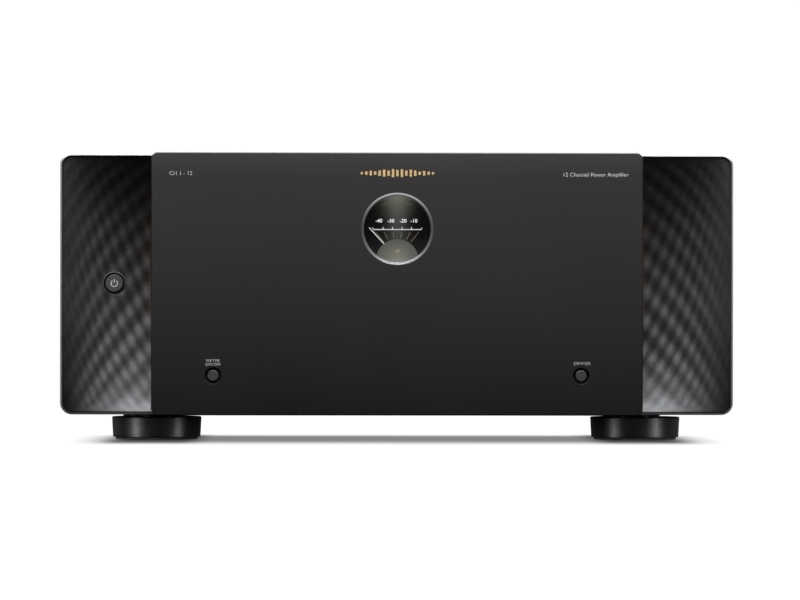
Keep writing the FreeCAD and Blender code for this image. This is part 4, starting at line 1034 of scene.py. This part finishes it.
def floor_shade(mat, incoming):
    """How much of the floor's sheen is left under the painted shade around the case."""
    band_gain, patch_gain, foot_gain = 0.77, 0.6, 0.73
    foot_x = 0.1607
    x, y = mat.axis("X"), mat.axis("Y")
    from_mid = mat.math("ABSOLUTE", x)
    # from the sides and from behind, the shade is an even patch under the case
    sideways = mat.ease(mat.math("ABSOLUTE", incoming[0]), 0.5, 0.85)
    aside = mat.math("MAXIMUM", sideways, mat.ease(incoming[1], 0.0, 0.3))
    ahead = mat.invert(aside)
    patch = mat.times(
        mat.invert(mat.ease(mat.math("ABSOLUTE", y), 0.14, 0.29)),
        mat.invert(mat.ease(from_mid, 0.15, 0.30)),
    )
    # from ahead it is a soft band along the front
    band = mat.times(mat.ease(y, -0.315, -0.19), mat.invert(mat.ease(y, -0.125, -0.045)))
    band = mat.times(band, mat.invert(mat.ease(from_mid, 0.172, 0.224)))
    band = mat.plus(
        mat.times(mat.times(band, band_gain), ahead),
        mat.times(mat.times(patch, patch_gain), aside),
    )
    shade = mat.invert(band)
    # a darker painted shadow against each front foot
    from_foot = mat.math("ABSOLUTE", mat.minus(from_mid, foot_x))
    near = mat.times(mat.invert(mat.ease(from_foot, 0.018, 0.040)), mat.ease(y, -0.292, -0.215))
    near = mat.times(near, mat.invert(mat.ease(y, -0.10, -0.05)))
    near = mat.times(mat.times(near, foot_gain), ahead)
    return mat.times(shade, mat.invert(near))


def floor_material():
    """Pale paper; seen at a slant, its sheen hides all but a painted shade."""
    mat = Mat("floor_pale", principled=False)
    mottle = mat.mix(mat.remap(mat.noise(scale=6)), grey(0.86), grey(0.9))
    paper = mat.value("ShaderNodeBsdfDiffuse", {0: mottle})
    lift = mat.value("ShaderNodeEmission", {"Strength": 0.35})
    lit = mat.value("ShaderNodeAddShader", {0: paper, 1: lift})
    incoming = mat.split(mat.value("ShaderNodeNewGeometry", output="Incoming"))
    sheen_gain = 1.05
    strength = mat.times(floor_shade(mat, incoming), sheen_gain)
    sheen = mat.value("ShaderNodeEmission", {"Strength": strength})
    steep = mat.ease(incoming[2], 0.06, 0.22)
    seen = mat.mix_shader(steep, sheen, lit)
    # what the case itself receives from the floor is weaker
    dim = mat.value("ShaderNodeBsdfDiffuse", {0: grey(0.03)})
    mat.finish(mat.mix_shader(mat.camera_ray(), dim, seen))
    return mat


def floor():
    mat = floor_material()
    mesh = bpy.data.meshes.new("floor")
    corners = [(x * FLOOR_REACH, y * FLOOR_REACH, 0) for x, y in ((-1, -1), (1, -1), (1, 1), (-1, 1))]
    mesh.from_pydata(corners, [], [(0, 1, 2, 3)])
    sheet = bpy.data.objects.new("floor", mesh)
    scene.collection.objects.link(sheet)
    mesh.materials.append(mat.material)


# ------------------------------------------------------------------ world and lights
def studio_world():
    """White to the camera; to the pieces, light from behind (+Y) and a little from above."""
    world = bpy.data.worlds.new("studio")
    scene.world = world
    world.use_nodes = True
    nodes = Nodes(world.node_tree, "ShaderNodeOutputWorld", "Generated")
    seen = nodes.value("ShaderNodeBackground", {"Color": grey(1), "Strength": 1.05})
    direction = nodes.split(nodes.coord)
    back = nodes.remap(direction[1], to=(0.0, 0.75), over=(-0.05, 0.55), smooth=True)
    upward = nodes.remap(direction[2], to=(0.015, 0.22), over=(-0.02, 0.9), smooth=True)
    light = nodes.value("ShaderNodeBackground", {"Strength": nodes.plus(back, upward)})
    nodes.finish(nodes.mix_shader(nodes.camera_ray(), light, seen))


def area_light(name, location, target, size, power, color=(1, 1, 1)):
    data = bpy.data.lights.new(name, "AREA")
    data.shape = "RECTANGLE"
    data.size, data.size_y = size
    data.energy = power
    data.color = color
    light = bpy.data.objects.new(name, data)
    scene.collection.objects.link(light)
    light.location = location
    aim = Vector(target) - Vector(location)
    light.rotation_euler = aim.to_track_quat("-Z", "Y").to_euler()
    light.visible_camera = False
    return light


def light_set(name, pieces, exclude=False):
    """A collection for light linking, of the only pieces or of all that are left out."""
    collection = bpy.data.collections.new(name)
    for piece in pieces:
        collection.objects.link(piece)
    if exclude:
        for member in collection.collection_objects:
            member.light_linking.link_state = "EXCLUDE"
    return collection


def lights():
    area_light("top_soft", (0, -0.20, 1.25), (0, -0.12, 0.1), size=(1.5, 0.7), power=10)
    front = area_light("front_high", (0, -0.87, 1.23), (0, -0.22, 0.1), size=(1.4, 0.5),
                       power=42)
    front.light_linking.receiver_collection = light_set(
        "not_wings", (LEFT, RIGHT, NODES["meter_bezel"]), exclude=True)
    key = area_light("wing_key", (0, -0.92, 1.26), (0, -0.22, 0.1), size=(1.5, 0.5),
                     power=30, color=(0.97, 1.0, 1.05))
    key.light_linking.receiver_collection = light_set("wings", (LEFT, RIGHT))
    # the power button casts no shadow of this light on the wing
    key.light_linking.blocker_collection = light_set(
        "key_passes", (NODES["power_button"], NODES["power_button_bezel"]), exclude=True)
    for name, side in (("strip_left", -1), ("strip_right", 1)):
        area_light(name, (side * 1.15, -1.05, 0.26), (0, -0.2, 0.08), size=(0.16, 0.7),
                   power=0.6)
    feet = light_set("low_pieces", (NODES["feet"], NODES["foot_pads"]))
    for name, x, power in (("foot_strip_left", -1.0, 5.5), ("foot_strip_right", 1.0, 5.0)):
        strip = area_light(name, (x, -0.83, 0.16), (0, -0.18, 0.01), size=(0.14, 0.30),
                           power=power)
        strip.light_linking.receiver_collection = feet
    area_light("back_fill", (0, 1.6, 1.1), (0, 0.2, 0.1), size=(1.6, 0.8), power=12)


def camera():
    """A long lens, low in front of the case and a little to its left."""
    data = bpy.data.cameras.new("camera")
    data.sensor_width = 36.0
    data.lens = 137.15
    data.shift_x, data.shift_y = -0.0006, 0.0467
    data.clip_start, data.clip_end = 0.05, 50
    eye = bpy.data.objects.new("camera", data)
    scene.collection.objects.link(eye)
    eye.location = (-0.0239, -2.2158, 0.0630)
    eye.rotation_euler = (math.radians(90 + 0.15), -0.0012, math.radians(-0.75))
    scene.camera = eye


floor()
studio_world()
lights()
camera()
scene.view_settings.view_transform = "Standard"
scene.view_settings.look = "None"
scene.view_settings.exposure = 0.0
scene.cycles.use_denoising = True
scene.cycles.max_bounces = 8
